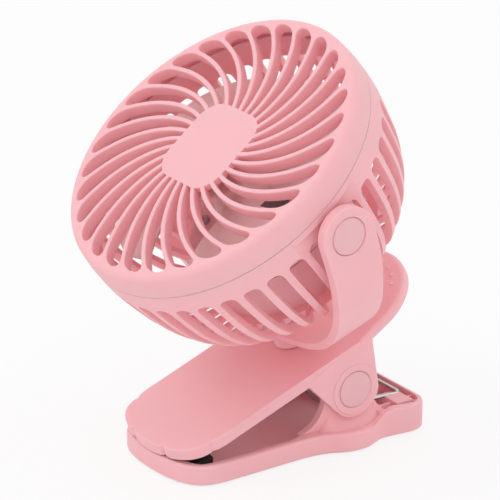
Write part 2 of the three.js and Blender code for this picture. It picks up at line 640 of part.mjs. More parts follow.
// ---------------------------------------------------------------- lower jaw
// half outline of the base, [x, y], from the tip to the rear
const BASE_HALF = [
  [0, BASE_FRONT_Y], [BASE_HALF_W - 19.7, BASE_FRONT_Y + 0.6], [BASE_HALF_W - 9.9, BASE_FRONT_Y + 3.2],
  [BASE_HALF_W - 3.3, BASE_FRONT_Y + 8.2], [BASE_HALF_W - 0.5, BASE_FRONT_Y + 15.4],
  [BASE_HALF_W, BASE_FRONT_Y + 24.5],
  ...[[0, -37.5], [0.2, -25.5], [1.9, -16.5], [5.2, -9.5], [6.6, -3.5], [6.4, 2.5], [4.1, 8.1],
    [2.7, 12.5], [2.9, 17.5]].map(([x, y]) => [BASE_HALF_W + x, HINGE_Y + y]),
  [BASE_HALF_W + 3.8, BASE_REAR_Y - 12.6], [BASE_HALF_W + 4.1, BASE_REAR_Y - 8.1],
  [BASE_HALF_W + 2.8, BASE_REAR_Y - 3.6], [BASE_HALF_W - 0.7, BASE_REAR_Y - 0.7],
  [BASE_HALF_W - 6.1, BASE_REAR_Y], [0, BASE_REAR_Y],
];
function baseOutline(inset) {
  return mirrored(BASE_HALF.map(([x, y], i) => {
    const before = BASE_HALF[Math.max(i - 1, 0)];
    const next = BASE_HALF[Math.min(i + 1, BASE_HALF.length - 1)];
    const along = new THREE.Vector2(next[0] - before[0], next[1] - before[1]).normalize();
    if (i === 0) return [0, y + inset];
    if (i === BASE_HALF.length - 1) return [0, y - inset];
    return [x - inset * along.y, y + inset * along.x];
  }));
}

// the foot of a flank, spreading outwards and to the rear as it meets the base
function flankFlare(side, z0) {
  const rows = [
    [z0, 6.5, 9.5], [BASE_RIM_Z - 1.2, 6.5, 9.5], [BASE_RIM_Z - 0.4, 4.6, 8.2], [BASE_RIM_Z + 1, 3, 6.4],
    [BASE_RIM_Z + 3, 1.5, 4.2], [BASE_RIM_Z + 5.4, 0.5, 2.2], [BASE_RIM_Z + 8, 0, 0.8],
    [BASE_RIM_Z + 11, 0, 0],
  ];
  const rear = HINGE_Y + 12.6;
  const front = HINGE_Y - 22;
  const points = rows.flatMap(([z, out, back]) => {
    const x = BASE_EAR_OUT + out;
    const lead = front + (z - z0) * 0.9;
    return [[BASE_EAR_IN, lead, z], [x - 0.6 * out, lead, z], [x, lead + 5, z], [x, rear + back - out, z],
      [x - 0.4 * out, rear + back - 0.3 * out, z], [BASE_EAR_IN, rear + back, z]]
      .map(([px, py, pz]) => [side * px, py, pz]);
  });
  return stacked(points, 6);
}

function lowerJaw() {
  const low = slab(baseOutline(0), 0, BASE_RIM_Z, BASE_ROUND, null, 2);
  const high = slab(baseOutline(0), 0, BASE_REAR_Z, BASE_ROUND, null, 2);
  const top = BASE_REAR_Z + 0.5;
  const foot = BASE_RIM_Z - 0.4;
  const behind = BASE_REAR_Y + 9;
  const ramp = [[3.5, 2], [3.5, foot], [7.5, foot + 0.6], [11.5, foot + 2.2], [15.5, top - 1.4], [20.5, top]]
    .map(([y, z]) => [HINGE_Y + y, z]);
  ramp.push([behind, top], [behind, 2]);
  const rear = high.intersect(slab(ramp, -60, 60, 0, ALONG_X));
  let base = join(low, rear);
  const inner = BASE_FLOOR;
  const trayW = BASE_HALF_W - BASE_WALL;
  const trayFront = BASE_FRONT_Y + BASE_WALL;
  const trayRear = HINGE_Y + 10.9;
  const trayHalf = [
    [0, trayFront], [trayW - 16.9, trayFront + 0.8], [trayW - 7.9, trayFront + 3.6],
    [trayW - 2.3, trayFront + 6.6], [trayW - 0.5, trayFront + 13.2], [trayW, trayFront + 21.8],
    [trayW, HINGE_Y - 33.5], [BASE_EAR_OUT - 0.2, HINGE_Y - 25.5], [BASE_EAR_OUT - 0.2, trayRear],
    [0, trayRear],
  ];
  base = cut(base, slab(mirrored(trayHalf), inner, 40));
  // troughs outside the flanks
  const trough = [[-5.2, -19], [-0.8, -19], [1.3, -10.5], [3.3, -3.5], [2.7, 2], [1.2, 8.5], [0.4, 13.2],
    [-5.2, 13.2]].map(([x, y]) => [BASE_HALF_W + x, HINGE_Y + y]);
  base = cut(base, slab(trough, BASE_RIM_Z - 1.4, 40),
    slab(trough.map(([x, y]) => [-x, y]).reverse(), BASE_RIM_Z - 1.4, 40));
  // rear tray with strengthening ribs
  const rearW = BASE_HALF_W + 2.2;
  const rearFront = trayRear + 2.6;
  const rearBack = BASE_REAR_Y - REAR_WALL;
  const rearTray = [
    [0, rearFront], [rearW - 2.6, rearFront], [rearW - 2.3, rearFront + 5], [rearW - 0.6, rearBack - 9.6],
    [rearW, rearBack - 5.6], [rearW - 1.6, rearBack - 2.4], [rearW - 5, rearBack - 0.4],
    [rearW - 9, rearBack], [0, rearBack],
  ];
  base = cut(base, slab(mirrored(rearTray), inner + 1, 40));
  const ribTop = SPRING_REAR_Z - WIRE_R - GAP;
  const ribs = [-14, -4.5, 4.5, 14].map((x) =>
    block(x - RIB_HALF, x + RIB_HALF, rearFront - 1, rearBack + 0.4, inner, ribTop));
  const middle = (rearFront + rearBack) / 2;
  const landIn = COIL_OUT_X + WIRE_R + GAP;
  const landOut = landIn + LAND_W;
  ribs.push(block(-landIn - 1, landIn + 1, middle - RIB_HALF, middle + RIB_HALF, inner, ribTop));
  for (const side of [1, -1]) {
    const across = (x0, x1, y0, y1, z1) =>
      block(side > 0 ? x0 : -x1, side > 0 ? x1 : -x0, y0, y1, inner, z1);
    const low = BASE_REAR_Z - 1.4;
    // a land stands beside each end of the spring's cross leg, with short ribs around it
    ribs.push(across(landIn, landOut, middle - 1.4, rearBack - 3.6, BASE_REAR_Z - 0.2));
    for (const y of [middle - 0.4, rearBack - 5.2]) {
      ribs.push(across(landOut - 1, rearW - 0.3, y - RIB_HALF, y + RIB_HALF, low));
    }
    ribs.push(across(landIn + 3, landIn + 3 + 2 * RIB_HALF, rearBack - 4, rearBack + 0.4, low),
      across(landOut - 1.6, landOut - 1.6 + 2 * RIB_HALF, rearBack - 4, rearBack - 0.4, low),
      across(landIn + 4, landIn + 4 + 2 * RIB_HALF, rearFront - 1, middle, low));
  }
  base = join(base, ...ribs);
  // ears
  const ear = [
    [HINGE_Y + 10.7, inner - 0.5], [HINGE_Y + 10.9, HINGE_Z - 13.5],
    ...arc(HINGE_Y, HINGE_Z, BASE_EAR_R, -18, 190, 18),
    ...smooth([[-13.3, -3.1], [-15.1, -8.3], [-19.1, -13.5], [-26.1, -16.9]], 6).slice(1)
      .map(([y, z]) => [HINGE_Y + y, HINGE_Z + z]),
    [HINGE_Y - 26.1, inner - 0.5],
  ];
  for (const x of [1, -1]) {
    const [x0, x1] = x > 0 ? [BASE_EAR_IN, BASE_EAR_OUT] : [-BASE_EAR_OUT, -BASE_EAR_IN];
    base = join(base, slab(ear, x0, x1, 0, ALONG_X));
  }
  const turnRoom = EAR_R + 1.5 * GAP;
  for (const side of [1, -1]) {
    const flare = cut(flankFlare(side, inner), rod(turnRoom, BASE_EAR_OUT, BASE_EAR_OUT + 12, 40,
      after(at(0, HINGE_Y, HINGE_Z), after(new THREE.Matrix4().makeScale(side, 1, 1), ALONG_X))));
    base = join(base, flare);
  }
  base = cut(base, rod(PIN_R + GAP, -40, 40, 16, after(at(0, HINGE_Y, HINGE_Z), ALONG_X)));
  for (const [x, y] of FEET) {
    base = cut(base, rod(FOOT_PAD_R + GAP, -1, FOOT_PAD_SINK, 18, at(x, y, 0)));
  }
  return base;
}
const FEET = [[JAW_HALF - 7.6, BASE_FRONT_Y + 15], [JAW_HALF - 3.6, BASE_REAR_Y - 14.6]]
  .flatMap(([x, y]) => [[x, y], [-x, y]]);

// ---------------------------------------------------------------- torsion spring
// one coil as plain points, inwards from the rear leg to the free leg
function coilLine() {
  const steps = Math.round(COIL_SWEEP / 360 * COIL_STEPS);
  return Array.from({ length: steps + 1 }, (_, i) => {
    const sweep = i / steps * COIL_SWEEP;
    const angle = (COIL_START - sweep) * DEG;
    return [COIL_OUT_X - sweep / 360 * COIL_PITCH, HINGE_Y + COIL_R * Math.cos(angle),
      HINGE_Z + COIL_R * Math.sin(angle)];
  });
}

class WireLine extends THREE.Curve {
  constructor(points) {
    super();
    this.points = points;
  }

  getPoint(t, target = new THREE.Vector3()) {
    const f = Math.min(Math.max(t, 0), 1) * (this.points.length - 1);
    const i = Math.min(Math.floor(f), this.points.length - 2);
    return target.copy(this.points[i]).lerp(this.points[i + 1], f - i);
  }

  getUtoTmapping(u) {
    return u;
  }
}

// the whole wire, from one free end over both coils to the other
function wirePoints() {
  const coil = coilLine();
  const [x, y, z] = coil[coil.length - 1];
  const leave = (COIL_START - COIL_SWEEP) * DEG;
  const half = [
    [0, SPRING_REAR_Y, SPRING_REAR_Z],
    [COIL_OUT_X - 2.2, SPRING_REAR_Y, SPRING_REAR_Z],
    [COIL_OUT_X - 0.6, SPRING_REAR_Y - 0.7, SPRING_REAR_Z],
    [COIL_OUT_X, SPRING_REAR_Y - 2.4, SPRING_REAR_Z],
    [COIL_OUT_X, HINGE_Y + 20.5, SPRING_REAR_Z + 0.6],
    [COIL_OUT_X, HINGE_Y + 9, SPRING_REAR_Z + 1.1],
    ...coil,
    [x - 0.3, y + FREE_LEG / 2 * Math.sin(leave), z - FREE_LEG / 2 * Math.cos(leave)],
    [x - 0.6, y + FREE_LEG * Math.sin(leave), z - FREE_LEG * Math.cos(leave)],
  ];
  return [...half.slice(1).reverse().map(([a, b, c]) => [-a, b, c]), ...half]
    .map(([a, b, c]) => new THREE.Vector3(a, b, c));
}

function torsionSpring() {
  const points = wirePoints();
  let closest = Infinity;
  for (let i = 0; i < points.length - 1; i += 1) {
    for (let j = i + 3; j < points.length - 1; j += 1) {
      for (let a = 0; a <= 4; a += 1) {
        const p = points[i].clone().lerp(points[i + 1], a / 4);
        const line = new THREE.Line3(points[j], points[j + 1]);
        const q = line.closestPointToPoint(p, true, new THREE.Vector3());
        closest = Math.min(closest, p.distanceTo(q) - 2 * WIRE_R);
      }
    }
  }
  console.log(`smallest gap between turns of the spring ${closest.toFixed(2)} mm`);
  const ring = Array.from({ length: WIRE_SIDES }, (_, i) => {
    const t = i / WIRE_SIDES * 2 * Math.PI;
    return new THREE.Vector2(WIRE_R * Math.cos(t), WIRE_R * Math.sin(t));
  });
  const geometry = new THREE.ExtrudeGeometry(new THREE.Shape(ring), {
    steps: points.length - 1,
    bevelEnabled: false,
    extrudePath: new WireLine(points),
  });
  return solid(geometry);
}

// ---------------------------------------------------------------- assembly: head
add('front_grille', frontGrille(), plastic(PINK), HEAD);
add('rear_cover', rearCover(), plastic(PINK), HEAD);
add('fan_blade', fanBlade(), plastic(PINK_BLADE, 0.35), HEAD);
const plateBack = DRUM_FRONT_Z + GAP;
const plateFront = plateBack + PLATE_THICK;
const motorBack = plateFront + GAP;
const motorFront = motorBack + MOTOR_LENGTH;
add('motor_shaft', rod(SHAFT_R, motorBack + 4, SHAFT_FRONT_Z, 16), metal(STEEL, 0.2), HEAD);
add('motor', cut(join(
  turned([[0, motorBack], [MOTOR_R, motorBack], [MOTOR_R, motorFront - 1], [MOTOR_R - 1, motorFront],
    [0, motorFront]], 20),
  rod(MOTOR_NOSE_R, motorFront - 0.5, motorFront + MOTOR_NOSE, 16)),
rod(SHAFT_R + 0.1, motorBack + 4 - GAP, 5, 16),
...[-7, 7].map((x) => rod(1.3, motorBack - 1, motorBack + 4, 14, at(x, 0, 0)))),
metal('#9a9da1', 0.35), HEAD);
const plate = cut(rod(DRUM_R, plateBack, plateFront, 24),
  ...[-7, 7].map((x) => rod(1.3, plateBack - 1, plateFront + 1, 14, at(x, 0, 0))),
  ...POST_ANGLES.map((angle) => rod(1.5, plateBack - 1, plateFront + 1, 10,
    at(POST_RADIUS * Math.cos(angle * DEG), POST_RADIUS * Math.sin(angle * DEG), 0))));
add('motor_plate', plate, plastic(PINK), HEAD);

// a screw with its head at z1, pointing towards -Z
function screw(r, headR, headH, tip, top) {
  return cut(join(rod(headR, top - headH, top, 14), rod(r, tip, top - headH + 0.2, 10)),
    block(-headR * 0.6, headR * 0.6, -0.4, 0.4, top - headH * 0.45, top + 1));
}
function placed(shape, matrix) {
  return shape.transform(matrix.toArray());
}
const flip = new THREE.Matrix4().makeRotationX(Math.PI);
addEach('motor_screw', [-7, 7].map((x) => placed(
  screw(1, 2, 1.2, -motorBack - 3.4, -plateBack + GAP + 1.2), after(at(x, 0, 0), flip))),
metal(STEEL), HEAD);
addEach('plate_screw', POST_ANGLES.map((angle) => placed(
  screw(1.2, 2.4, 1.4, plateBack - 7, plateFront + GAP + 1.4),
  at(POST_RADIUS * Math.cos(angle * DEG), POST_RADIUS * Math.sin(angle * DEG), 0))), metal(STEEL), HEAD);
const batteryAt = after(at(0, BATTERY_Y, BATTERY_Z), ALONG_X);
const L = BATTERY_LENGTH / 2;
add('battery', turned([
  [0, -L], [BATTERY_R - 0.5, -L], [BATTERY_R, 0.5 - L], [BATTERY_R, L - 1.6], [BATTERY_R - 0.6, L - 1],
  [3, L - 1], [3, L], [0, L]], 24, batteryAt), plastic('#3b6fb5', 0.4), HEAD);
const contactX = L + GAP;
addEach('battery_contact', [contactX, -contactX - CONTACT_THICK].map((x) =>
  block(x, x + CONTACT_THICK, BATTERY_Y - CONTACT_W / 2, BATTERY_Y + CONTACT_W / 2,
    BATTERY_Z - CONTACT_H / 2, BATTERY_Z + CONTACT_H / 2)),
metal('#c9c6b8', 0.3), HEAD);
add('battery_door', cut(join(
  slab(roundedBox(DOOR_W - 2 * GAP, DOOR_H - 2 * GAP, 2.7, 4), BACK_Z, BACK_Z + BACK_WALL - 0.4, 0,
    at(0, BATTERY_Y, 0)),
  doorTab(GAP, 0, DOOR_TAB_THICK)),
rod(1 + GAP, BACK_Z - 1, BACK_Z + 5, 16, at(0, doorScrewY(), 0))), plastic(PINK), HEAD);
add('door_screw', placed(screw(1, 2.4, 1, -BACK_Z - BACK_WALL - 3.6, -BACK_Z + GAP + 1),
  after(at(0, doorScrewY(), 0), flip)), metal(STEEL), HEAD);
add('control_board', cut(
  block(-BOARD_W / 2, BOARD_W / 2, BOARD_Y0, BOARD_Y1, BOARD_Z, BOARD_Z + BOARD_THICK),
  ...[-1, 1].map((s) => rod(1.2, BOARD_Z - 1, BOARD_Z + 3, 14,
    at(s * (BOARD_W / 2 - 4), BOARD_Y1 - 3.5, 0)))), plastic('#2f6b45', 0.5), HEAD);
addEach('board_screw', [-1, 1].map((s) => placed(
  screw(0.8, 1.8, 1, BOARD_Z - 2.6, BOARD_Z + BOARD_THICK + GAP + 1),
  at(s * (BOARD_W / 2 - 4), BOARD_Y1 - 3.5, 0))), metal(STEEL), HEAD);
const switchTop = BOARD_Z - GAP - 1.5;
add('tact_switch', join(block(-3, 3, CONTROL_Y - 3, CONTROL_Y + 3, switchTop + 0.4, BOARD_Z - GAP),
  rod(1.6, switchTop, switchTop + 0.6, 16, at(0, CONTROL_Y, 0))), plastic(BLACK), HEAD);
add('usb_socket', cut(
  slab(roundedBox(SOCKET_W, SOCKET_H, 1, 3), BACK_Z + 0.3, BOARD_Z - GAP, 0, at(SOCKET_X, CONTROL_Y, 0)),
  slab(roundedBox(SOCKET_W - 1, SOCKET_H - 1, 0.6, 3), BACK_Z - 1, BOARD_Z - GAP - 1, 0,
    at(SOCKET_X, CONTROL_Y, 0))), metal(STEEL, 0.35), HEAD);
add('power_button', turned([
  [0, BACK_Z - BUTTON_PROUD], [BUTTON_R - 1, BACK_Z - BUTTON_PROUD], [BUTTON_R, BACK_Z - BUTTON_PROUD + 0.8],
  [BUTTON_R, BACK_Z + BACK_WALL + GAP], [BUTTON_R + 1, BACK_Z + BACK_WALL + GAP],
  [BUTTON_R + 1, BACK_Z + BACK_WALL + GAP + 0.5], [0, BACK_Z + BACK_WALL + GAP + 0.5],
], 24, at(0, CONTROL_Y, 0)), plastic(PINK, 0.45), HEAD);
add('led_lens', turned([
  [0, BACK_Z - 0.2], [LAMP_R - 0.3, BACK_Z - 0.2], [LAMP_R, BACK_Z + 0.2], [LAMP_R, BOARD_Z - GAP],
  [0, BOARD_Z - GAP]], 16, at(LAMP_X, CONTROL_Y, 0)), plastic('#f4efe9', 0.2), HEAD);

// ---------------------------------------------------------------- assembly: bracket and pivots
add('yoke', yoke(), plastic(PINK), SEAT);
const screwTop = ARM_OUT_X - CAP_THICK - GAP;
const sides = [1, -1].map((s) => new THREE.Matrix4().makeRotationY(s * Math.PI / 2));
addEach('tilt_screw', sides.map((m) => placed(
  screw(TILT_SCREW_R, TILT_HEAD_R, 1.2, INNER_BOSS_X + 2, screwTop - 0.1), m)), metal(STEEL), HEAD);
const washerX = BOSS_X + (ARM_IN_X - BOSS_X - WASHER_THICK) / 2;
addEach('tilt_washer', sides.map((m) => placed(cut(rod(WASHER_R, washerX, washerX + WASHER_THICK, 24),
  rod(TILT_SCREW_R + GAP, washerX - 1, washerX + 2, 14)), m)), plastic('#e9e6e2', 0.5), HEAD);
const capX = ARM_OUT_X - CAP_THICK;
addEach('pivot_cap', sides.map((m) => placed(turned([
  [0, capX], [CAP_R - 1.4, capX], [CAP_R - 1.4, capX - 1.4], [CAP_R, capX - 1.4], [CAP_R, ARM_OUT_X],
  [CAP_R - 0.7, ARM_OUT_X + CAP_DOME * 0.45], [CAP_R * 0.5, ARM_OUT_X + CAP_DOME * 0.9],
  [0, ARM_OUT_X + CAP_DOME],
], 20), after(at(0, 0, TILT_HEIGHT), m))), plastic(PINK), SEAT);
add('swivel_screw', screw(SWIVEL_R, SWIVEL_HEAD_R, 2.4, -11.4, CRADLE_FLOOR - 4 + GAP + 2.4),
  metal(STEEL), SEAT);
const underPlate = -JAW_PLATE - GAP;
add('swivel_washer', cut(rod(6.5, underPlate - 1, underPlate, 24), rod(SWIVEL_R + GAP, -12, 0, 14)),
  metal(STEEL), SEAT);
add('swivel_nut', cut(rod(4.1, underPlate - 1 - GAP - 3.2, underPlate - 1 - GAP, 6),
  rod(SWIVEL_R + GAP / 2, -12, 0, 14)), metal(STEEL), SEAT);

// ---------------------------------------------------------------- assembly: clip
add('upper_jaw', upperJaw(), plastic(PINK), SEAT);
const padTop = -JAW_PLATE - GAP;
add('upper_pad', slab([
  [0, padTop], [0, 3.8 - WEDGE_DEPTH], [1, 2.8 - WEDGE_DEPTH], [WEDGE_LENGTH - 3.6, -WEDGE_DEPTH],
  [WEDGE_LENGTH - 1.8, 0.2 - WEDGE_DEPTH], [WEDGE_LENGTH - 0.4, 2 - WEDGE_DEPTH], [WEDGE_LENGTH, padTop],
].map(([y, z]) => [PAD_FROM_TIP - JAW_FRONT + y, z]), -PAD_HALF, PAD_HALF, 0, ALONG_X),
plastic(BLACK, 0.8), SEAT);
const hingeLie = (s) => after(at(s * JAW_HALF, HINGE_IN_SEAT.y, HINGE_IN_SEAT.z),
  new THREE.Matrix4().makeRotationY(s * Math.PI / 2));
addEach('hinge_cap', [1, -1].map((s) => turned([
  [0, EAR_BOSS - HINGE_CAP_THICK], [HINGE_CAP_R, EAR_BOSS - HINGE_CAP_THICK], [HINGE_CAP_R, EAR_BOSS - 0.1],
  [HINGE_CAP_R - 0.7, EAR_BOSS + 0.25], [HINGE_CAP_R * 0.5, EAR_BOSS + 0.55], [0, EAR_BOSS + 0.65],
], 20, hingeLie(s))), plastic(PINK), SEAT);
const pinEnd = JAW_HALF + EAR_BOSS - HINGE_CAP_THICK - 2 * GAP;
add('hinge_pin', rod(PIN_R, -pinEnd, pinEnd, 16, after(at(0, HINGE_Y, HINGE_Z), ALONG_X)), metal(STEEL));
add('torsion_spring', torsionSpring(), metal('#c9ccd0', 0.22));
add('lower_jaw', lowerJaw(), plastic(PINK));
add('lower_pad', slab(roundedBox(2 * PAD_HALF, PAD_LENGTH, PAD_CORNER), BASE_FLOOR + GAP, PAD_TOP_Z, 0.6,
  at(0, BASE_FRONT_Y + 14, 0), 2), plastic(BLACK, 0.8));
addEach('rubber_foot', FEET.map(([x, y]) => turned([
  [0, -FOOT_PAD_PROUD], [FOOT_PAD_R - 0.5, -FOOT_PAD_PROUD], [FOOT_PAD_R, 0.1 - FOOT_PAD_PROUD],
  [FOOT_PAD_R, FOOT_PAD_SINK - GAP], [0, FOOT_PAD_SINK - GAP],
], 16, at(x, y, 0))), plastic(BLACK, 0.85));

export default fan;
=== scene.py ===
import bpy
import bmesh
import math
from mathutils import Matrix, Vector


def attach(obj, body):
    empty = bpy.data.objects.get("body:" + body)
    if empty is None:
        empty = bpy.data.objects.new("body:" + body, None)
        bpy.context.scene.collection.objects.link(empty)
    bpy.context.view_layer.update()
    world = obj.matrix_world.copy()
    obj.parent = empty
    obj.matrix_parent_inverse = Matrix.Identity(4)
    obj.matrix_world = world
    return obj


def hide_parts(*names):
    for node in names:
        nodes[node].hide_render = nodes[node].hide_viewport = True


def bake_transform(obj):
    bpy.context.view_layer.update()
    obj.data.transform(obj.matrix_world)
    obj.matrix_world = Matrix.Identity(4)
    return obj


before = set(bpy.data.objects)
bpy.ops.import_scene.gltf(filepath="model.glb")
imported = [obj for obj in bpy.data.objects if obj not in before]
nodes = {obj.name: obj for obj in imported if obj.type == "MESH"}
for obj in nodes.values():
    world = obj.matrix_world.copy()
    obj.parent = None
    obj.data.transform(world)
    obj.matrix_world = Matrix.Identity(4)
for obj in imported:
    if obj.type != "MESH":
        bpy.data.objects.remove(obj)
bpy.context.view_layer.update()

# ------------------------------------------------------------------ sizes, in millimetres
GAP = 0.3
WELD, CUT_WELD = 1e-4, 1e-3
SWIVEL_HOLE_R, TILT_HOLE_R, PIN_HOLE_R = 2.3, 2.2, 2.8
SEAT = Matrix.Translation((0, 1.15, 42.3)) @ Matrix.Rotation(math.radians(19.5), 4, "X")
TILT_HEIGHT = 83
TILT_POINT = SEAT @ Vector((0, 0, TILT_HEIGHT))
HEAD = Matrix.Translation(TILT_POINT) @ Matrix.Rotation(math.radians(38.4), 4, "X")
WORLD = Matrix.Identity(4)
HINGE_Y, HINGE_Z = 13.5, 25.5
HINGE_IN_SEAT = SEAT.inverted() @ Vector((0, HINGE_Y, HINGE_Z))

# a shape built upwards is laid along X: its x and y become y and z
ALONG_X = Matrix(((0, 0, 1, 0), (1, 0, 0, 0), (0, 1, 0, 0), (0, 0, 0, 1)))
ALONG_Y = Matrix.Rotation(math.radians(90), 4, "X")


def place(x, y, z):
    return Matrix.Translation((x, y, z))


def facing_x(side):
    return Matrix.Rotation(side * math.pi / 2, 4, "Y")


# ------------------------------------------------------------------ shape helpers
def arc(cx, cy, r, start, end, steps):
    turn = [math.radians(start + (end - start) * i / steps) for i in range(steps + 1)]
    return [(cx + r * math.cos(t), cy + r * math.sin(t)) for t in turn]


def rounded_rectangle(w, h, r, steps=8):
    x, y = w / 2 - r, h / 2 - r
    return (arc(x, y, r, 0, 90, steps) + arc(-x, y, r, 90, 180, steps)
            + arc(-x, -y, r, 180, 270, steps) + arc(x, -y, r, 270, 360, steps))


def smooth_line(points, per_span=5):
    """A Catmull-Rom line through the points."""
    ends = [points[0]] + list(points) + [points[-1]]
    line = []
    for a, b, c, d in zip(ends, ends[1:], ends[2:], ends[3:]):
        for i in range(per_span):
            t = i / per_span
            line.append(tuple(0.5 * (2 * q + (r - p) * t + (2 * p - 5 * q + 4 * r - s) * t * t
                                     + (3 * q - p - 3 * r + s) * t ** 3)
                              for p, q, r, s in zip(a, b, c, d)))
    return line + [tuple(points[-1])]


def mirrored(half):
    return list(half) + [(-x, y) for x, y in reversed(half) if x > 1e-6]


def tidy(bm):
    bmesh.ops.remove_doubles(bm, verts=bm.verts, dist=WELD)
    bmesh.ops.recalc_face_normals(bm, faces=bm.faces)
    return bm


def moved(bm, matrix):
    bmesh.ops.transform(bm, matrix=matrix, verts=bm.verts)
    return bm


def loft(sections):
    """A solid through outlines of the same number of points, one above the other."""
    bm = bmesh.new()
    step = bm.verts.layers.int.new("step")
    first = [bm.verts.new(p) for p in sections[0]]
    for i, v in enumerate(first):
        v[step] = i
    face = bm.faces.new(first)
    for number, section in enumerate(sections[1:]):
        under = face
        grown = bmesh.ops.extrude_face_region(bm, geom=[under])["geom"]
        face = [f for f in grown if isinstance(f, bmesh.types.BMFace)][0]
        for v in face.verts:
            v.co = section[v[step]]
        if number:
            bmesh.ops.delete(bm, geom=[under], context="FACES_ONLY")
    return tidy(bm)


def prism(outline, z0, z1):
    return loft([[(x, y, z) for x, y in outline] for z in (z0, z1)])


def soften(bm, amount, steps=3, chosen=lambda e: True, angle=35):
    """Rounds the chosen edges that are sharper than the angle."""
    edges = [e for e in bm.edges if len(e.link_faces) == 2 and chosen(e)
             and e.calc_face_angle(0) > math.radians(angle)]
    bmesh.ops.bevel(bm, geom=edges, offset=amount, offset_type="OFFSET", segments=steps,
                    profile=0.5, affect="EDGES", clamp_overlap=True, material=-1)
    return bm


def above(z):
    return lambda e: all(v.co.z > z for v in e.verts)


def lathe(profile, segments=96):
    """A closed profile of (radius, height) turned about Z."""
    bm = bmesh.new()
    line = [bm.verts.new((max(r, 0), 0, z)) for r, z in profile]
    edges = [bm.edges.new((a, b)) for a, b in zip(line, line[1:] + line[:1])
             if max(a.co.x, b.co.x) > 1e-6]
    bmesh.ops.spin(bm, geom=line + edges, cent=(0, 0, 0), axis=(0, 0, 1), dvec=(0, 0, 0),
                   angle=2 * math.pi, steps=segments, use_merge=True, use_duplicate=False)
    return tidy(bm)


def rod(r, z0, z1, segments=48):
    bm = bmesh.new()
    bmesh.ops.create_cone(bm, cap_ends=True, segments=segments, radius1=r, radius2=r, depth=z1 - z0)
    return moved(bm, place(0, 0, (z0 + z1) / 2))


def block(x0, x1, y0, y1, z0, z1):
    bm = bmesh.new()
    bmesh.ops.create_cube(bm, size=1)
    bmesh.ops.scale(bm, vec=(x1 - x0, y1 - y0, z1 - z0), verts=bm.verts)
    return moved(bm, place((x0 + x1) / 2, (y0 + y1) / 2, (z0 + z1) / 2))


def together(*shapes):
    """One mesh of several loose shapes."""
    whole = shapes[0]
    for shape in shapes[1:]:
        mesh = bpy.data.meshes.new("part")
        shape.to_mesh(mesh)
        shape.free()
        whole.from_mesh(mesh)
        bpy.data.meshes.remove(mesh)
    return whole


def as_object(bm, name):
    mesh = bpy.data.meshes.new(name)
    bm.to_mesh(mesh)
    bm.free()
    made = bpy.data.objects.new(name, mesh)
    bpy.context.scene.collection.objects.link(made)
    return made


def combined(first, second, operation):
    """One solid cut by, joined to or trimmed to another."""
    work, tool = as_object(first, "work"), as_object(second, "tool")
    step = work.modifiers.new("shape", "BOOLEAN")
    step.operation = operation
    # this solver gives the same mesh on every run
    step.solver = "MANIFOLD"
    step.object = tool
    bpy.context.view_layer.update()
    result = work.evaluated_get(bpy.context.evaluated_depsgraph_get())
    bm = bmesh.new()
    bm.from_mesh(result.to_mesh())
    result.to_mesh_clear()
    for used in (work, tool):
        mesh = used.data
        bpy.data.objects.remove(used)
        bpy.data.meshes.remove(mesh)
    bmesh.ops.remove_doubles(bm, verts=bm.verts, dist=CUT_WELD)
    return bm


def cut(first, *others):
    for other in others:
        first = combined(first, other, "DIFFERENCE")
    return first


def join(first, *others):
    for other in others:
        first = combined(first, other, "UNION")
    return first


def piece(name, bm, local, body, material, slot, *replaced, crisp=32):
    """Puts a finished shape in the row frame, in metres, on its body."""
    moved(bm, Matrix.Scale(0.001, 4) @ local)
    made = as_object(bm, name)
    made.data.shade_smooth()
    made.data.set_sharp_from_angle(angle=math.radians(crisp))
    level = made.modifiers.new("even shading", "WEIGHTED_NORMAL")
    level.keep_sharp = True
    made.data.materials.append(material)
    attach(made, body)
    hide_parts(*(replaced or (name,)))
    return made


# ------------------------------------------------------------------ materials
def linear(code):
    """An sRGB hex colour as a linear one."""
    parts = [int(code[i:i + 2], 16) / 255 for i in (1, 3, 5)]
    return [c / 12.92 if c <= 0.04045 else ((c + 0.055) / 1.055) ** 2.4 for c in parts] + [1]


def node(tree, kind, inputs=None, **settings):
    made = tree.nodes.new(kind)
    for key, value in settings.items():
        setattr(made, key, value)
    for key, value in (inputs or {}).items():
        if isinstance(value, bpy.types.NodeSocket):
            tree.links.new(value, made.inputs[key])
        else:
            made.inputs[key].default_value = value
    return made


def finish(name, colour, deep, roughness, grain_mm, grain_height_mm, spread=0.05, **shader):
    """A finish with a slight drift of colour and roughness and a fine surface grain."""
    material = bpy.data.materials.new(name)
    material.use_nodes = True
    tree = material.node_tree
    surface = tree.nodes["Principled BSDF"]
    for key, value in shader.items():
        surface.inputs[key.replace("_", " ")].default_value = value
    place_mm = node(tree, "ShaderNodeTexCoord").outputs["Object"]
    drift = node(tree, "ShaderNodeTexNoise", {"Vector": place_mm, "Scale": 1 / 0.018, "Detail": 3.0})
    # a colour mix keeps its two colours in inputs 6 and 7 and gives them out at 2
    shade = node(tree, "ShaderNodeMix", {0: drift.outputs["Fac"], 6: linear(colour), 7: linear(deep)},
                 data_type="RGBA")
    tree.links.new(shade.outputs[2], surface.inputs["Base Color"])
    rough = node(tree, "ShaderNodeMapRange", {"Value": drift.outputs["Fac"], "From Min": 0.3,
                                              "From Max": 0.7, "To Min": roughness - spread,
                                              "To Max": roughness + spread})
    tree.links.new(rough.outputs["Result"], surface.inputs["Roughness"])
    grain = node(tree, "ShaderNodeTexNoise", {"Vector": place_mm, "Scale": 1000 / grain_mm,
                                              "Detail": 2.0})
    bump = node(tree, "ShaderNodeBump", {"Height": grain.outputs["Fac"], "Strength": 0.25,
                                         "Distance": grain_height_mm / 1000})
    tree.links.new(bump.outputs["Normal"], surface.inputs["Normal"])
    return material


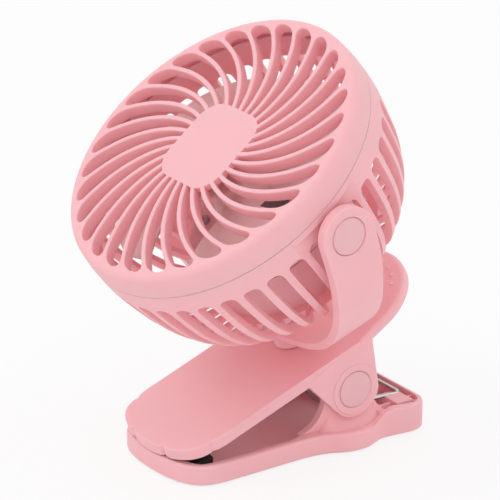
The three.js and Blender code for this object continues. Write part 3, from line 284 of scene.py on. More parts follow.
# ABS moulded in a spark-eroded tool: an even, slightly soft satin in pale pink.
# The real grain is about 0.1 mm; it is drawn at 0.6 mm so that the render shows it.
PINK = finish("moulded satin ABS, pink", "#FFC1C6", "#FEBBC1", 0.5, 0.6, 0.02, IOR=1.5,
              Subsurface_Weight=0.35, Subsurface_Radius=(1.0, 0.4, 0.4), Subsurface_Scale=0.006)
# the same plastic from a polished tool, on the button
PINK_SMOOTH = finish("moulded gloss ABS, pink", "#FFC1C6", "#FEBDC3", 0.34, 0.8, 0.008, IOR=1.5)
# polypropylene, self-coloured and slightly see-through at the edges, so it looks paler
BLADE = finish("moulded polypropylene, pale pink", "#F1D3D2", "#EECCCC", 0.36, 1.2, 0.01, IOR=1.49)
# moulded nitrile rubber, dull black with a bloom
RUBBER = finish("moulded rubber, black", "#232123", "#2C2A2B", 0.78, 0.5, 0.04, IOR=1.52)
BLACK_PLASTIC = finish("moulded nylon, black", "#1D1C1D", "#242223", 0.5, 0.6, 0.01, IOR=1.53)
NYLON = finish("moulded nylon, natural", "#E9E6E0", "#E2DED6", 0.5, 0.6, 0.01, IOR=1.53)
# drawn spring wire with a bright nickel flash: sharp, slightly warm reflections
SPRING_STEEL = finish("drawn spring wire, nickel flashed", "#C9C8C6", "#BAB9B8", 0.2, 0.5, 0.004,
                      Metallic=1.0)
ZINC = finish("zinc-plated steel", "#BFC2C6", "#AEB2B8", 0.3, 0.5, 0.006, Metallic=1.0)
MOTOR_CAN = finish("deep-drawn steel can, oiled", "#8E9094", "#7F8185", 0.36, 0.5, 0.006, Metallic=1.0)
NICKEL = finish("nickel-plated strip", "#CFCBBE", "#C2BEB0", 0.28, 0.5, 0.004, Metallic=1.0)
SLEEVE = finish("shrunk PVC sleeve, blue", "#3B6FB5", "#3566A8", 0.32, 1.0, 0.01, IOR=1.53)
BOARD = finish("glass-fibre board, green mask", "#2F6B45", "#285F3C", 0.4, 0.5, 0.006, IOR=1.5)
LENS = finish("milky light guide", "#F4EFE9", "#EDE6DE", 0.2, 1.0, 0.002, IOR=1.5)

LEFT_AS_CAD = {
    "motor": MOTOR_CAN, "motor_shaft": ZINC, "motor_plate": PINK, "motor_screw_1": ZINC,
    "motor_screw_2": ZINC, "plate_screw_1": ZINC, "plate_screw_2": ZINC, "plate_screw_3": ZINC,
    "battery": SLEEVE, "battery_contact_1": NICKEL, "battery_contact_2": NICKEL,
    "door_screw": ZINC, "control_board": BOARD, "board_screw_1": ZINC, "board_screw_2": ZINC,
    "tact_switch": BLACK_PLASTIC, "usb_socket": ZINC, "led_lens": LENS,
    "tilt_screw_1": ZINC, "tilt_screw_2": ZINC, "tilt_washer_1": NYLON, "tilt_washer_2": NYLON,
    "swivel_screw": ZINC, "swivel_washer": ZINC, "swivel_nut": ZINC, "hinge_pin": ZINC,
}
for name, material in LEFT_AS_CAD.items():
    nodes[name].data.materials.clear()
    nodes[name].data.materials.append(material)

# ------------------------------------------------------------------ camera
AZIMUTH, ELEVATION = math.radians(55), math.radians(21.3)
CAMERA_DISTANCE = 1.4
AIM_HEIGHT, AIM_RIGHT, AIM_UP = 0.090, -0.0177, -0.0055
to_right = Vector((math.cos(AZIMUTH), math.sin(AZIMUTH), 0))
to_camera = Vector((math.sin(AZIMUTH) * math.cos(ELEVATION), -math.cos(AZIMUTH) * math.cos(ELEVATION),
                    math.sin(ELEVATION)))
to_top = to_camera.cross(to_right)
aim = Vector((0, 0, AIM_HEIGHT)) + to_right * AIM_RIGHT + to_top * AIM_UP
camera = bpy.data.objects.new("camera", bpy.data.cameras.new("camera"))
bpy.context.scene.collection.objects.link(camera)
camera.data.lens = 233.3
camera.data.sensor_width = 36
camera.data.clip_start = 0.05
camera.location = aim + to_camera * CAMERA_DISTANCE
camera.rotation_mode = "QUATERNION"
camera.rotation_quaternion = to_camera.to_track_quat("Z", "Y")
bpy.context.scene.camera = camera

# ------------------------------------------------------------------ front grille
FACE_Z = 25.8
RIB_BACK_Z = FACE_Z - 6
SEAM_Z = 13.85
SEAM_HALF = 0.07
HEAD_R = 71
RIB_COUNT = 30
RIB_WIDTH = 2.1
# how far the ribs turn, in degrees for each millimetre of radius
RIB_SWIRL = 0.68
SLOT_OUT_R = 66.3
SLOT_IN_R = 14
SLOT_END = 4.6
BADGE_W, BADGE_H, BADGE_CORNER = 38.4, 40.4, 11


def slot_outline(angle, lip):
    """One curved slot, made wider all round by the lip."""
    end = SLOT_OUT_R - SLOT_END
    rows = [(SLOT_IN_R + (end - SLOT_IN_R) * i / 14, 1) for i in range(15)]
    rows += [(end + (SLOT_END + lip) * math.sin(t), math.cos(t))
             for t in (math.radians(15 * i) for i in range(1, 6))]
    left, right = [], []
    for r, share in rows:
        lean = math.atan(math.radians(r * RIB_SWIRL))
        rib = math.degrees((RIB_WIDTH - 2 * lip) / (r * math.cos(lean)))
        half = (360 / RIB_COUNT - rib) / 2 * share
        for side, edge in ((left, half), (right, -half)):
            turn = math.radians(angle + RIB_SWIRL * r + edge)
            side.append((r * math.cos(turn), r * math.sin(turn)))
    tip, far = math.radians(angle + RIB_SWIRL * SLOT_OUT_R), SLOT_OUT_R + lip
    return right + [(far * math.cos(tip), far * math.sin(tip))] + left[::-1]


def slot_cutter(angle):
    """A slot's cutter, wider at both faces so that the ribs have rounded edges."""
    heights = ((RIB_BACK_Z - 1, 0.5), (RIB_BACK_Z, 0.5), (RIB_BACK_Z + 0.6, 0.0), (FACE_Z - 0.6, 0.0),
               (FACE_Z - 0.3, 0.08), (FACE_Z - 0.1, 0.25), (FACE_Z, 0.5), (FACE_Z + 1, 0.6))
    return loft([[(x, y, z) for x, y in slot_outline(angle, lip)] for z, lip in heights])


def front_grille():
    wall_r, corner = HEAD_R - 2.7, 3
    side = [(wall_r, SEAM_Z + SEAM_HALF), (HEAD_R - 0.35, SEAM_Z + SEAM_HALF), (HEAD_R - 0.1, SEAM_Z + 0.2),
            (HEAD_R, SEAM_Z + 0.5), (HEAD_R - 0.1, 17), (HEAD_R - 0.45, 20)]
    side += arc(HEAD_R - 3.8, FACE_Z - corner, corner, 5, 90, 8)
    body = lathe([(0, RIB_BACK_Z), (wall_r, RIB_BACK_Z)] + side + [(0, FACE_Z)], 180)
    cutters = together(*[slot_cutter(i * 360 / RIB_COUNT) for i in range(RIB_COUNT)])
    badge = prism(rounded_rectangle(BADGE_W, BADGE_H, BADGE_CORNER, 12), FACE_Z - 3.2, FACE_Z)
    return join(cut(body, cutters), badge)


piece("front_grille", front_grille(), HEAD, "head", PINK, "pink_plastic")

# ------------------------------------------------------------------ rear cover
BACK_Z = -46
FLOOR_Z = BACK_Z + 2.4
FLAT_X = HEAD_R - 2.5
BOSS_R, BOSS_X = 6.2, HEAD_R + 0.9
INNER_BOSS_R, INNER_BOSS_X = 5, FLAT_X - 9
EDGE = 0.5
LIP_IN_R, LIP_OUT_R, LIP_FRONT_Z = 66.5, 68, SEAM_Z + 3.05
DRUM_IN, DRUM_OUT, DRUM_FRONT_Z = 36.5, 38.5, -23
POST_R = 31.5
POSTS = [place(POST_R * math.cos(math.radians(a)), POST_R * math.sin(math.radians(a)), 0)
         for a in (90, 210, 330)]
CONTROL_Y = 20
BUTTON_R, BUTTON = 4.6, place(0, CONTROL_Y, 0)
DOOR_MIDDLE, DOOR_SCREW, DOOR_SCREW_HOLE = place(0, -2, 0), place(0, -16.5, 0), 1.3
COVER_OUT = smooth_line([(71, 9), (70.9, 4), (70.1, -2), (68.8, -10), (67.1, -18), (64.5, -26),
                         (61.2, -33), (57.2, -38.6), (52.5, -42.6), (47.5, -44.9), (42.5, -45.9)], 3)
COVER_IN = smooth_line([(39, -43.6), (46, -42), (51.5, -38.8), (56.6, -33.6), (60.6, -27), (63.4, -19),
                        (65.1, -10), (66.4, -1), (66.8, 4), (66.5, 8.5)], 2)
CAGE_PITCH, SLOT_HALF_ANGLE = 9, 3.15
CAGE_PLACES = 360 // CAGE_PITCH
CAGE_LOW, CAGE_TOP = -43, 4.6


def on_cage(point):
    """Whether a point lies on the outside of the cover, on the height of the slots."""
    for (r0, z0), (r1, z1) in zip(COVER_OUT, COVER_OUT[1:]):
        if z1 <= point.z <= z0 and CAGE_LOW < point.z < CAGE_TOP + 0.1:
            radius = r0 + (r1 - r0) * (z0 - point.z) / (z0 - z1)
            return math.hypot(point.x, point.y) > radius - 0.1
    return False


def cage_slot(angle):
    """A slot's cutter: a wedge that widens outwards, round at its top corners."""
    inside, reach, corner = 43, 75, 3
    half = reach * math.tan(math.radians(SLOT_HALF_ANGLE))
    outline = [(-half, BACK_Z - 4), (half, BACK_Z - 4)]
    outline += arc(half - corner, CAGE_TOP - corner, corner, 0, 90, 6)
    outline += arc(corner - half, CAGE_TOP - corner, corner, 90, 180, 6)
    bm = loft([[(r, t * r / reach, z) for t, z in outline] for r in (inside, reach)])
    return moved(bm, Matrix.Rotation(math.radians(angle), 4, "Z"))


def pivot_boss():
    """Boss on one side of the cover: the tilt screw passes through it."""
    crown = arc(BOSS_R - EDGE, BOSS_X - EDGE, EDGE, 0, 90, 3)
    return lathe([(0, INNER_BOSS_X), (INNER_BOSS_R, INNER_BOSS_X), (INNER_BOSS_R, FLAT_X - 2),
                  (BOSS_R, FLAT_X - 2)] + crown + [(0, BOSS_X)], 64)


def rear_cover():
    """The cage with its slots, and the posts, drum and bosses inside it."""
    rim = [(HEAD_R - 0.35, SEAM_Z - SEAM_HALF), (HEAD_R - 0.1, SEAM_Z - 0.2), (HEAD_R, SEAM_Z - 0.5)]
    floor = [(40, BACK_Z), (0, BACK_Z), (0, FLOOR_Z)]
    lip = [(LIP_IN_R, LIP_FRONT_Z), (LIP_OUT_R, LIP_FRONT_Z), (LIP_OUT_R, SEAM_Z - SEAM_HALF)]
    cover = lathe(rim + COVER_OUT + floor + COVER_IN + lip, 160)
    flats = [block(*sorted((side * FLAT_X, side * (HEAD_R + 9))), -30, 30, -24, 11) for side in (1, -1)]
    # no slot lies over a pivot
    slots = [cage_slot(i * CAGE_PITCH) for i in range(CAGE_PLACES) if i % (CAGE_PLACES // 2)]
    cover = cut(cover, together(*flats), together(*slots))

    # what stands on the floor reaches a little into it
    root = FLOOR_Z - 0.2
    drum = lathe([(DRUM_IN, root), (DRUM_OUT, root), (DRUM_OUT, DRUM_FRONT_Z), (DRUM_IN, DRUM_FRONT_Z)])
    bosses = [moved(pivot_boss(), facing_x(side)) for side in (1, -1)]
    posts = [moved(rod(3, root, DRUM_FRONT_Z, 32), spot) for spot in POSTS]
    board_posts = [moved(rod(2.4, root, -40.3, 24), place(x, 23.5, 0)) for x in (-16, 16)]
    door_post = moved(rod(3.2, root, FLOOR_Z + 5, 32), DOOR_SCREW)
    cover = join(cover, together(drum, door_post, *bosses, *posts, *board_posts))

    below, above_floor = BACK_Z - 1, FLOOR_Z + 1
    holes = [moved(rod(TILT_HOLE_R, INNER_BOSS_X - 1.5, HEAD_R + 9), facing_x(side)) for side in (1, -1)]
    holes += [moved(rod(1.5, DRUM_FRONT_Z - 8, DRUM_FRONT_Z + 1, 24), spot) for spot in POSTS]
    holes += [moved(prism(rounded_rectangle(69, 20, 3), below, FLOOR_Z + 0.05), DOOR_MIDDLE),
              moved(rod(DOOR_SCREW_HOLE, below, FLOOR_Z + 5, 24), DOOR_SCREW),
              moved(rod(BUTTON_R + GAP, below, above_floor), BUTTON),
              moved(rod(1.6, below, above_floor), place(10.5, CONTROL_Y, 0)),
              moved(prism(rounded_rectangle(8.2, 3.5, 1.2), below, above_floor), place(-10.5, CONTROL_Y, 0))]
    tab = block(-6, 6, -20, -10, below, BACK_Z + 1.3)
    cover = cut(cover, together(*holes), tab)
    return soften(cover, 0.5, 3, lambda e: all(on_cage(v.co) for v in e.verts), 50)


piece("rear_cover", rear_cover(), HEAD, "head", PINK, "pink_plastic")


def battery_door():
    """A plate that lies flush in the back, with a tongue for its screw."""
    plate = moved(prism(rounded_rectangle(68.4, 19.4, 2.7), BACK_Z, BACK_Z + 2), DOOR_MIDDLE)
    plate = join(plate, block(-5.7, 5.7, -19.7, -10, BACK_Z, BACK_Z + 1))
    return cut(plate, moved(rod(DOOR_SCREW_HOLE, BACK_Z - 1, BACK_Z + 5, 24), DOOR_SCREW))


piece("battery_door", battery_door(), HEAD, "head", PINK, "pink_plastic")


def power_button():
    """A domed button with a collar that keeps it in the cover."""
    face, back = BACK_Z - 0.95, FLOOR_Z + GAP
    crown = [(BUTTON_R * math.sin(math.radians(a)), face - 0.25 * math.cos(math.radians(a)))
             for a in (0, 20, 40, 55)]
    return lathe(crown + [(BUTTON_R - 0.3, face), (BUTTON_R, face + 0.35), (BUTTON_R, back),
                          (BUTTON_R + 1, back), (BUTTON_R + 1, back + 0.5), (0, back + 0.5)], 48)


piece("power_button", moved(power_button(), BUTTON), HEAD, "button", PINK_SMOOTH, "pink_button")

# ------------------------------------------------------------------ fan blades
HUB_R, HUB_FRONT, HUB_BACK = 17, 12.4, -3
HUB_WALL = 1.8
BLADE_R, BLADE_COUNT, BLADE_THICK = 57, 4, 1.3


def one_blade(start):
    """A twisted, hollowed blade: u runs from hub to tip, and side from -1 to 1 across it."""
    bm = bmesh.new()
    bmesh.ops.create_grid(bm, x_segments=18, y_segments=14, size=0.5)
    for v in bm.verts:
        u, side = v.co.x + 0.5, 2 * v.co.y
        tip = BLADE_R - 6 * abs(side) ** 3
        r = HUB_R - 1.2 + (tip - HUB_R + 1.2) * u
        half = 36 * (0.8 + 0.32 * u - 0.12 * u * u)
        turn = math.radians(start + half * side + 16 * u * u)
        camber = -2.4 * (1 - side * side) * (0.5 + 0.5 * u)
        z = 4.5 + 6.5 * side * (1 - 0.2 * u) - camber
        v.co = (r * math.cos(turn), r * math.sin(turn), z)
    bmesh.ops.recalc_face_normals(bm, faces=bm.faces)
    bmesh.ops.solidify(bm, geom=bm.faces[:], thickness=BLADE_THICK)
    return bm


def fan_blade():
    inside, deck = HUB_R - HUB_WALL, HUB_FRONT - HUB_WALL
    hub = lathe([(HUB_R, HUB_BACK), (HUB_R, deck), (HUB_R - 0.5, 11.6), (HUB_R - 1.6, HUB_FRONT - 0.1),
                 (HUB_R - 3, HUB_FRONT), (0, HUB_FRONT), (0, deck), (inside, deck), (inside, HUB_BACK)], 72)
    post = cut(rod(4, -2, 12, 32), rod(1.25, -4, 11.3, 24))
    blades = [one_blade(37 + i * 360 / BLADE_COUNT) for i in range(BLADE_COUNT)]
    return together(hub, post, *blades)


piece("fan_blade", fan_blade(), HEAD, "rotor", BLADE, "blade_plastic")

# ------------------------------------------------------------------ U bracket
ARM_OUT_X, ARM_IN_X = 77.6, 73
ARM_TOP_R = 12.7
YOKE_FRONT = [(-ARM_TOP_R, TILT_HEIGHT), (-12.7, 76), (-12.9, 66), (-13, 56), (-12.7, 46), (-11.9, 35),
              (-10.8, 24), (-9.4, 14.5), (-8.5, 6)]
YOKE_REAR = [(9, 6), (10.8, 13), (11.6, 22), (11.5, 34), (10.8, 46), (10.8, 54), (11.3, 61), (12, 68),
             (12.5, 76), (ARM_TOP_R, TILT_HEIGHT)]


def yoke():
    """A bent band trimmed to the arms' outline, with a round foot and sunk pivot seats."""
    # the band is a U whose lower half is half an ellipse
    springing, deep, top = TILT_HEIGHT - 11, 62, TILT_HEIGHT + 18

    def half_ring(a, b, start, end):
        return [(a * x, springing + b * y) for x, y in arc(0, 0, 1, start, end, 60)]

    section = ([(-ARM_OUT_X, top)] + half_ring(ARM_OUT_X, deep + 3, 180, 360)
               + [(ARM_OUT_X, top), (ARM_IN_X, top)] + half_ring(ARM_IN_X, deep, 360, 180)
               + [(-ARM_IN_X, top)])
    band = moved(prism(section, -30, 30), ALONG_Y)
    outline = (arc(0, TILT_HEIGHT, ARM_TOP_R, 0, 180, 32) + smooth_line(YOKE_FRONT, 4)[1:]
               + smooth_line(YOKE_REAR, 4)[:-1])
    side = moved(prism(outline, -90, 90), ALONG_X)
    shape = combined(band, side, "INTERSECT")
    bmesh.ops.remove_doubles(shape, verts=shape.verts, dist=0.5)
    shape = soften(shape, 1.7, 5)
    foot = lathe([(0, 0.4), (7.9, 0.4), (8.3, 0.7), (8.4, 1.2), (7.9, 3.6), (7.4, 6), (7.2, 8.4),
                  (0, 8.4)], 72)
    shape = join(shape, foot)
    for x in (1, -1):
        into = place(x * ARM_OUT_X, 0, TILT_HEIGHT) @ facing_x(-x)
        seat = lathe([(0, -1), (9.2, -1), (8.9, -0.1), (8.5, 0.12), (8.2, 0.6), (8.2, 3), (0, 3)], 72)
        shape = cut(shape, moved(seat, into), moved(rod(TILT_HOLE_R, -1, 12, 32), into))
    return cut(shape, rod(SWIVEL_HOLE_R, -1, 20, 32), rod(4.7, 6, 16, 48))


piece("yoke", yoke(), SEAT, "bracket", PINK, "pink_plastic")
for number, side in ((1, 1), (2, -1)):
    cap = lathe([(0, 76.4), (6.7, 76.4), (6.7, 75), (8.1, 75), (8.1, 76.8), (7.98, 77.2), (7.6, 77.55),
                 (7, 77.8), (5, 78.08), (2.5, 78.24), (0, 78.28)], 72)
    piece(f"pivot_cap_{number}", moved(cap, place(0, 0, TILT_HEIGHT) @ facing_x(side)), SEAT, "bracket",
          PINK, "pink_plastic")

# ------------------------------------------------------------------ upper jaw
JAW_HALF, JAW_WALL, JAW_DEPTH = 29.6, 2.6, 5.2
JAW_FRONT = 83.2
EAR_R, EAR_FRONT = 12.8, 14.8
HANDLE_START, HANDLE_MIDDLE = 12.5, 18.2
GRIP_BUMPS, GRIP_R, GRIP_PITCH = 8, 23.4, 13.6
BEND = place(0, HANDLE_START, 0) @ Matrix.Rotation(math.radians(12.5), 4, "X")


def jaw_outline(half, front):
    notch, side_notch = 11.2, -67
    line = smooth_line([(0, -front), (notch - 4.5, -front + 0.5), (notch - 1.4, -front + 1.3),
                        (notch, -front + 2.7)], 3)
    line += smooth_line([(notch + 1.3, -front + 1.9), (notch + 5, -front + 2.4), (notch + 9.2, -front + 4.2),
                         (half - 5.4, -front + 6.7), (half - 2.8, -front + 10),
                         (half - 1.5, side_notch - 2.4), (half - 1.8, side_notch)], 3)
    return line + smooth_line([(half - 0.6, side_notch + 1.9), (half, side_notch + 6),
                               (half, side_notch + 12)], 3) + [(half, HANDLE_START + 3)]


def handle_outline(r):
    return [(r, -7)] + arc(0, HANDLE_MIDDLE, r, 0, 180, 40) + [(-r, -7)]


def upper_jaw():
    """A hollow jaw and handle, with the hinge's ears at its flanks and bumps on its grip."""
    front = soften(prism(mirrored(jaw_outline(JAW_HALF, JAW_FRONT)), -JAW_DEPTH, 0), 2.2, 5,
                   lambda e: all(v.co.z > -0.1 and v.co.y < HANDLE_START + 2.9 for v in e.verts))
    rear = soften(prism(handle_outline(JAW_HALF), -4.6, 0), 2.2, 5,
                  lambda e: all(v.co.z > -0.1 for v in e.verts) and any(v.co.y > -6.9 for v in e.verts))
    hollow = prism(mirrored(jaw_outline(JAW_HALF - JAW_WALL, JAW_FRONT - JAW_WALL)), -20, -3)
    rear_hollow = moved(prism(handle_outline(JAW_HALF - JAW_WALL), -20, -3), BEND)
    jaw = cut(join(front, moved(rear, BEND)), hollow, rear_hollow)
    y, z = HINGE_IN_SEAT.y, HINGE_IN_SEAT.z
    # the ear's front edge leaves the jaw's lower corner and touches the ear's circle
    rise, run = z + JAW_DEPTH, y + EAR_FRONT
    tangent = 270 + math.degrees(math.atan2(rise, run) - math.asin(EAR_R / math.hypot(rise, run)))
    ear = ([(-EAR_FRONT, -2.6), (-EAR_FRONT, -JAW_DEPTH)] + arc(y, z, EAR_R, tangent, 335, 36)
           + [(y + 13.2, z + 3.5), (y + 16.2, -0.1)])
    for x in (1, -1):
        x0, x1 = sorted((x * (JAW_HALF - 3.4), x * JAW_HALF))
        cheek = soften(moved(prism(ear, x0, x1), ALONG_X), 0.7, 3,
                       lambda e: all(abs(v.co.x) > JAW_HALF - 0.1 and v.co.z < -5.5 for v in e.verts))
        into = place(x * JAW_HALF, y, z) @ facing_x(-x)
        ring = lathe([(0, 0.6), (11.6, 0.6), (11.6, -0.15), (11.45, -0.38), (11.1, -0.5), (0, -0.5)], 72)
        jaw = join(jaw, cheek, moved(ring, into))
        seat = lathe([(0, -5), (9.6, -5), (9.2, -0.65), (8.8, -0.4), (8.4, 0), (8.4, 0.8), (0, 0.8)], 72)
        jaw = cut(jaw, moved(seat, into), moved(rod(PIN_HOLE_R, -5, 10, 32), into))
    bumps = []
    for i in range(GRIP_BUMPS):
        turn = math.radians(90 + (i - (GRIP_BUMPS - 1) / 2) * GRIP_PITCH)
        bump = bmesh.new()
        bmesh.ops.create_uvsphere(bump, u_segments=20, v_segments=12, radius=0.95)
        bmesh.ops.scale(bump, vec=(1, 1, 0.75), verts=bump.verts)
        # a little above the handle's face, so that no vertex lies in that face
        spot = place(GRIP_R * math.cos(turn), HANDLE_MIDDLE + GRIP_R * math.sin(turn), 0.13)
        bumps.append(moved(bump, BEND @ spot))
    jaw = join(jaw, together(*bumps))
    return cut(jaw, rod(SWIVEL_HOLE_R, -10, 5, 32))


piece("upper_jaw", upper_jaw(), SEAT, "upper", PINK, "pink_plastic")
for number, side in ((1, 1), (2, -1)):
    cap = lathe([(0, -0.5), (8.3, -0.5), (8.3, -0.1), (8.18, 0.3), (7.8, 0.6), (7.2, 0.8), (4.2, 1.06),
                 (2, 1.13), (0, 1.15)], 72)
    local = place(side * JAW_HALF, HINGE_IN_SEAT.y, HINGE_IN_SEAT.z) @ facing_x(side)
    piece(f"hinge_cap_{number}", moved(cap, local), SEAT, "upper", PINK, "pink_plastic")

# ------------------------------------------------------------------ lower jaw
BASE_HALF = [(0, -75), (11.4, -74.4), (21.2, -71.8), (27.8, -66.8), (30.6, -59.6), (31.1, -50.5),
             (31.1, -24), (31.3, -12), (33, -3), (36.3, 4), (37.7, 10), (37.5, 16), (35.2, 21.6),
             (33.8, 26), (34, 31), (34.9, 38), (35.2, 42.5), (33.9, 47), (30.4, 49.9), (25, 50.6), (0, 50.6)]
FEET = ((22, -59.98), (-22, -59.98), (26, 36), (-26, 36))
EAR_IN_X, EAR_OUT_X = 22.5, 25.9
TRAY_FLOOR, POCKET_FLOOR, REAR_FLOOR = 3, 7.8, 4
RIM_FRONT, RIM_REAR = 9.2, 13.5
REAR_WALL_Y, REAR_IN_Y = 27, 48.6


def flank(side):
    """The foot of a flank, spreading outwards and to the rear as it meets the base."""
    levels = []
    for z in (3, 7.9, 8.2, 8.6, 9.1, 9.7, 10.4, 11.3, 12.4, 13.6, 15, 16.6, 18.4, 20.2):
        share = max(z - 7.9, 0)
        out = 6.6 * max(1 - share / 9.4, 0) ** 2.6
        back = 9.6 * max(1 - share / 12.3, 0) ** 2.2
        front, rear, x = HINGE_Y - 22 + (z - 3) * 0.9, HINGE_Y + 12.6 + back, EAR_OUT_X + out
        bend, turn = 0.6 + 0.8 * out, 0.6 + 0.9 * out
        ring = [(EAR_IN_X, front)]
        ring += [(x - bend * (1 - math.sin(t)), front + turn * (1 - math.cos(t)))
                 for t in (math.radians(15 * i) for i in range(7))]
        ring += [(x - bend * (1 - math.cos(t)), rear - turn * (1 - math.sin(t)))
                 for t in (math.radians(15 * i) for i in range(7))]
        levels.append([(side * a, b, z) for a, b in ring + [(EAR_IN_X, rear)]])
    # the upper jaw's ear turns in this room
    room = moved(rod(13.1, EAR_OUT_X + 0.05, 40, 96), place(0, HINGE_Y, HINGE_Z) @ facing_x(side))
    return cut(loft(levels), room)


def level_edge(e):
    return abs(e.verts[0].co.z - e.verts[1].co.z) < 1


def rear_ribs():
    """The ribs that stand in the rear tray, as (x0, x1, y0, y1, top)."""
    middle, land_in, land_out, low, high = 37.8, 20.6, 30.2, 11, 12.1
    ribs = [(x - 0.6, x + 0.6, 26, 49, low) for x in (-14, -4.5, 4.5, 14)]
    ribs += [(-21.6, 21.6, middle - 0.6, middle + 0.6, low)]
    for side in (1, -1):
        own = [(land_in, land_out, middle - 1.4, 45, 13.3),
               (land_out - 1, 33, middle - 1, middle + 0.2, high), (land_out - 1, 33, 42.8, 44, high),
               (land_in + 3, land_in + 4.2, 44.6, 49, high),
               (land_out - 1.6, land_out - 0.4, 44.6, 48.2, high),
               (land_in + 4, land_in + 5.2, 26, middle, high)]
        ribs += [(*sorted((side * a, side * b)), *rest) for a, b, *rest in own]
    return ribs


def lower_jaw():
    """The base: a tray in front, pockets beside the ears and a ribbed tray at the rear."""
    outline = mirrored(smooth_line(BASE_HALF, 3))
    low = soften(prism(outline, 0, RIM_FRONT), 1.6, 4, level_edge)
    high = soften(prism(outline, 0, RIM_REAR), 1.6, 4, level_edge)
    # the rear is the taller base, cut off along a ramp
    ramp = [(17, 2), (17, 8.7)] + smooth_line([(18, 8.9), (21, 9.4), (25, 11), (29, 12.6), (34, 14)], 4)
    rear = combined(high, moved(prism(ramp + [(60, 14), (60, 2)], -60, 60), ALONG_X), "INTERSECT")
    base = join(low, rear)

    tray = [(0, -71.8), (11, -71), (20, -68.2), (25.6, -65.2), (27.4, -58.6), (27.9, -50)]
    tray = smooth_line(tray, 3) + [(27.9, -20), (25.7, -12), (25.7, 24.4), (0, 24.4)]
    base = cut(base, prism(mirrored(tray), TRAY_FLOOR, 40))
    pocket = smooth_line([(30.3, -5.5), (32.4, 3), (34.4, 10), (33.8, 15.5), (32.3, 22), (31.5, 26.7)], 4)
    pocket = [(EAR_OUT_X, -5.5)] + pocket + [(EAR_OUT_X, 26.7)]
    base = cut(base, *[prism([(side * x, y) for x, y in pocket], POCKET_FLOOR, 40) for side in (1, -1)])
    rear_tray = smooth_line([(30.7, REAR_WALL_Y), (31, 32), (32.7, 39), (33.3, 43), (31.7, 46.2),
                             (28.3, 48.2), (24.3, REAR_IN_Y)], 3)
    rear_tray = [(0, REAR_WALL_Y)] + rear_tray + [(0, REAR_IN_Y)]
    base = cut(base, prism(mirrored(rear_tray), REAR_FLOOR, 40))

    for x0, x1, y0, y1, top in rear_ribs():
        base = join(base, soften(block(x0, x1, y0, y1, TRAY_FLOOR, top), 0.3, 2, above(top - 0.1)))
    ear = [(24.2, 2.5), (24.4, 12)] + arc(HINGE_Y, HINGE_Z, 13.4, -18, 190, 60)
    ear += smooth_line([(0.2, 22.4), (-1.6, 17.2), (-5.6, 12), (-12.6, 8.6)], 6) + [(-12.6, 2.5)]
    for side in (1, -1):
        x0, x1 = sorted((side * EAR_IN_X, side * EAR_OUT_X))
        base = join(base, soften(moved(prism(ear, x0, x1), ALONG_X), 0.5, 3, above(14)), flank(side))
    base = cut(base, moved(rod(PIN_HOLE_R, -40, 40, 32), place(0, HINGE_Y, HINGE_Z) @ ALONG_X))
    return cut(base, *[moved(rod(4.8, -1, 1, 40), place(x, y, 0)) for x, y in FEET])


piece("lower_jaw", lower_jaw(), WORLD, "base", PINK, "pink_plastic")

# ------------------------------------------------------------------ pads and feet
def upper_pad():
    top = -3.3
    outline = [(-75.6, top), (-75.6, -8.4), (-74.6, -9.4)]
    outline += smooth_line([(-66.4, -12.1), (-64.9, -12.1), (-63.4, -10.4), (-62.8, -8)], 3)
    return soften(moved(prism(outline + [(-62.8, top)], -20, 20), ALONG_X), 0.5, 3)


piece("upper_pad", upper_pad(), SEAT, "upper", RUBBER, "black_rubber")


def lower_pad():
    bed = soften(prism(rounded_rectangle(40, 15, 3), 3.3, 7.1), 0.5, 3)
    ribs = [soften(block(-17, 17, y - 0.6, y + 0.6, 6.6, 7.6), 0.35, 2, above(7.5))
            for y in (-5, -2.5, 0, 2.5, 5)]
    return moved(together(bed, *ribs), place(0, -61, 0))


piece("lower_pad", lower_pad(), WORLD, "base", RUBBER, "black_rubber")
for number, (x, y) in enumerate(FEET, 1):
    foot = lathe([(0, -0.6), (3.6, -0.6), (4.1, -0.5), (4.4, -0.2), (4.5, 0.2), (4.5, 0.7), (0, 0.7)], 40)
    piece(f"rubber_foot_{number}", moved(foot, place(x, y, 0)), WORLD, "base", RUBBER, "black_rubber")

# ------------------------------------------------------------------ torsion spring
COIL_R, COIL_PITCH, COIL_OUT_X = 12.2, 2.35, 19.4
COIL_START, COIL_SWEEP = -92, 1493
WIRE_R = 0.9
REAR_Y, REAR_Z = 46.2, 12.2


def spring_line():
    """Two coils about the hinge, joined by a bar at the rear, in row millimetres."""
    coil = []
    for sweep in range(0, COIL_SWEEP + 1, 12):
        turn = math.radians(COIL_START - sweep)
        coil.append((COIL_OUT_X - sweep / 360 * COIL_PITCH, HINGE_Y + COIL_R * math.cos(turn),
                     HINGE_Z + COIL_R * math.sin(turn)))
    x, y, z = coil[-1]
    free = [(x - 0.04 * s, y + s * math.sin(turn), z - s * math.cos(turn)) for s in (5, 10, 15)]
    leg = [(0, REAR_Y, REAR_Z), (9, REAR_Y, REAR_Z), (COIL_OUT_X - 2.4, REAR_Y, REAR_Z),
           (COIL_OUT_X - 1.2, REAR_Y - 0.32, REAR_Z), (COIL_OUT_X - 0.32, REAR_Y - 1.2, REAR_Z),
           (COIL_OUT_X, REAR_Y - 2.4, REAR_Z), (COIL_OUT_X, 40, REAR_Z + 0.3), (COIL_OUT_X, 34, REAR_Z + 0.6),
           (COIL_OUT_X, 28, REAR_Z + 0.9), (COIL_OUT_X, 22.5, REAR_Z + 1.1), (COIL_OUT_X, 18, REAR_Z + 1.15)]
    half = leg + coil + free
    return [(-a, b, c) for a, b, c in reversed(half[1:])] + half


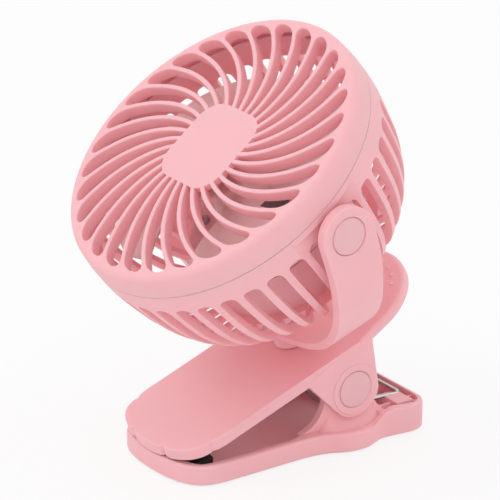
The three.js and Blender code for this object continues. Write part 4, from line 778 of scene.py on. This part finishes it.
def torsion_spring():
    curve = bpy.data.curves.new("spring", "CURVE")
    curve.dimensions = "3D"
    curve.bevel_depth = WIRE_R
    curve.bevel_resolution = 4
    curve.use_fill_caps = True
    points = spring_line()
    line = curve.splines.new("POLY")
    line.points.add(len(points) - 1)
    for at, point in zip(line.points, points):
        at.co = (*point, 1)
    wire = bpy.data.objects.new("wire", curve)
    bpy.context.scene.collection.objects.link(wire)
    bpy.context.view_layer.update()
    drawn = wire.evaluated_get(bpy.context.evaluated_depsgraph_get())
    bm = bmesh.new()
    bm.from_mesh(drawn.to_mesh())
    bpy.data.objects.remove(wire)
    return moved(tidy(bm), Matrix.Scale(0.001, 4))


spring = as_object(torsion_spring(), "torsion_spring")
spring.data.shade_smooth()
spring.data.materials.append(SPRING_STEEL)
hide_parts("torsion_spring")
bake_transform(spring)

# ------------------------------------------------------------------ floor, light and background
# just under the rubber feet, in metres
GROUND = -0.0007
stage = bpy.data.objects.new("floor", bpy.data.meshes.new("floor"))
bpy.context.scene.collection.objects.link(stage)
ground = bmesh.new()
bmesh.ops.create_grid(ground, x_segments=1, y_segments=1, size=6)
bmesh.ops.translate(ground, vec=(0, 0, GROUND), verts=ground.verts)
ground.to_mesh(stage.data)
ground.free()


def any_ray(tree, *kinds):
    """One where a ray is of any of these kinds, and nought elsewhere."""
    seen = node(tree, "ShaderNodeLightPath").outputs
    found = seen[kinds[0]]
    for kind in kinds[1:]:
        found = node(tree, "ShaderNodeMath", {0: found, 1: seen[kind]}, operation="MAXIMUM").outputs[0]
    return found


def floor_material():
    material = bpy.data.materials.new("white paper floor")
    material.use_nodes = True
    tree = material.node_tree
    tree.nodes.clear()
    shown = any_ray(tree, "Is Camera Ray", "Is Glossy Ray")
    paper = node(tree, "ShaderNodeBsdfDiffuse", {"Color": linear("#FAFAFA")})
    glow = node(tree, "ShaderNodeEmission", {"Color": (1, 1, 1, 1), "Strength": 1.0})
    share = node(tree, "ShaderNodeMath", {0: shown, 1: 0.8}, operation="MULTIPLY")
    mix = node(tree, "ShaderNodeMixShader", {0: share.outputs[0], 1: paper.outputs[0], 2: glow.outputs[0]})
    node(tree, "ShaderNodeOutputMaterial", {"Surface": mix.outputs[0]})
    return material


stage.data.materials.append(floor_material())


def white_world():
    world = bpy.data.worlds.new("studio")
    world.use_nodes = True
    tree = world.node_tree
    tree.nodes.clear()
    shown = any_ray(tree, "Is Camera Ray", "Is Glossy Ray", "Is Transmission Ray")
    soft = node(tree, "ShaderNodeBackground", {"Color": linear("#FFFFFF"), "Strength": 0.82})
    white = node(tree, "ShaderNodeBackground", {"Color": linear("#FFFFFF"), "Strength": 1.0})
    mix = node(tree, "ShaderNodeMixShader", {0: shown, 1: soft.outputs[0], 2: white.outputs[0]})
    node(tree, "ShaderNodeOutputWorld", {"Surface": mix.outputs[0]})
    return world


bpy.context.scene.world = white_world()


LIGHT_AIM = Vector((0, 0, 0.1))


def softbox(name, place_m, size, power):
    lamp = bpy.data.lights.new(name, "AREA")
    lamp.shape = "DISK"
    lamp.size = size
    lamp.energy = power
    made = bpy.data.objects.new(name, lamp)
    bpy.context.scene.collection.objects.link(made)
    made.location = place_m
    made.rotation_mode = "QUATERNION"
    made.rotation_quaternion = (Vector(place_m) - LIGHT_AIM).to_track_quat("Z", "Y")


softbox("key", (-0.5, -1.1, 1.5), 0.9, 4.5)
softbox("fill", (1.5, -0.9, 0.9), 1.2, 1.8)
softbox("back", (0.4, 1.3, 1.2), 1.0, 1.5)
bpy.context.scene.view_settings.view_transform = "Standard"
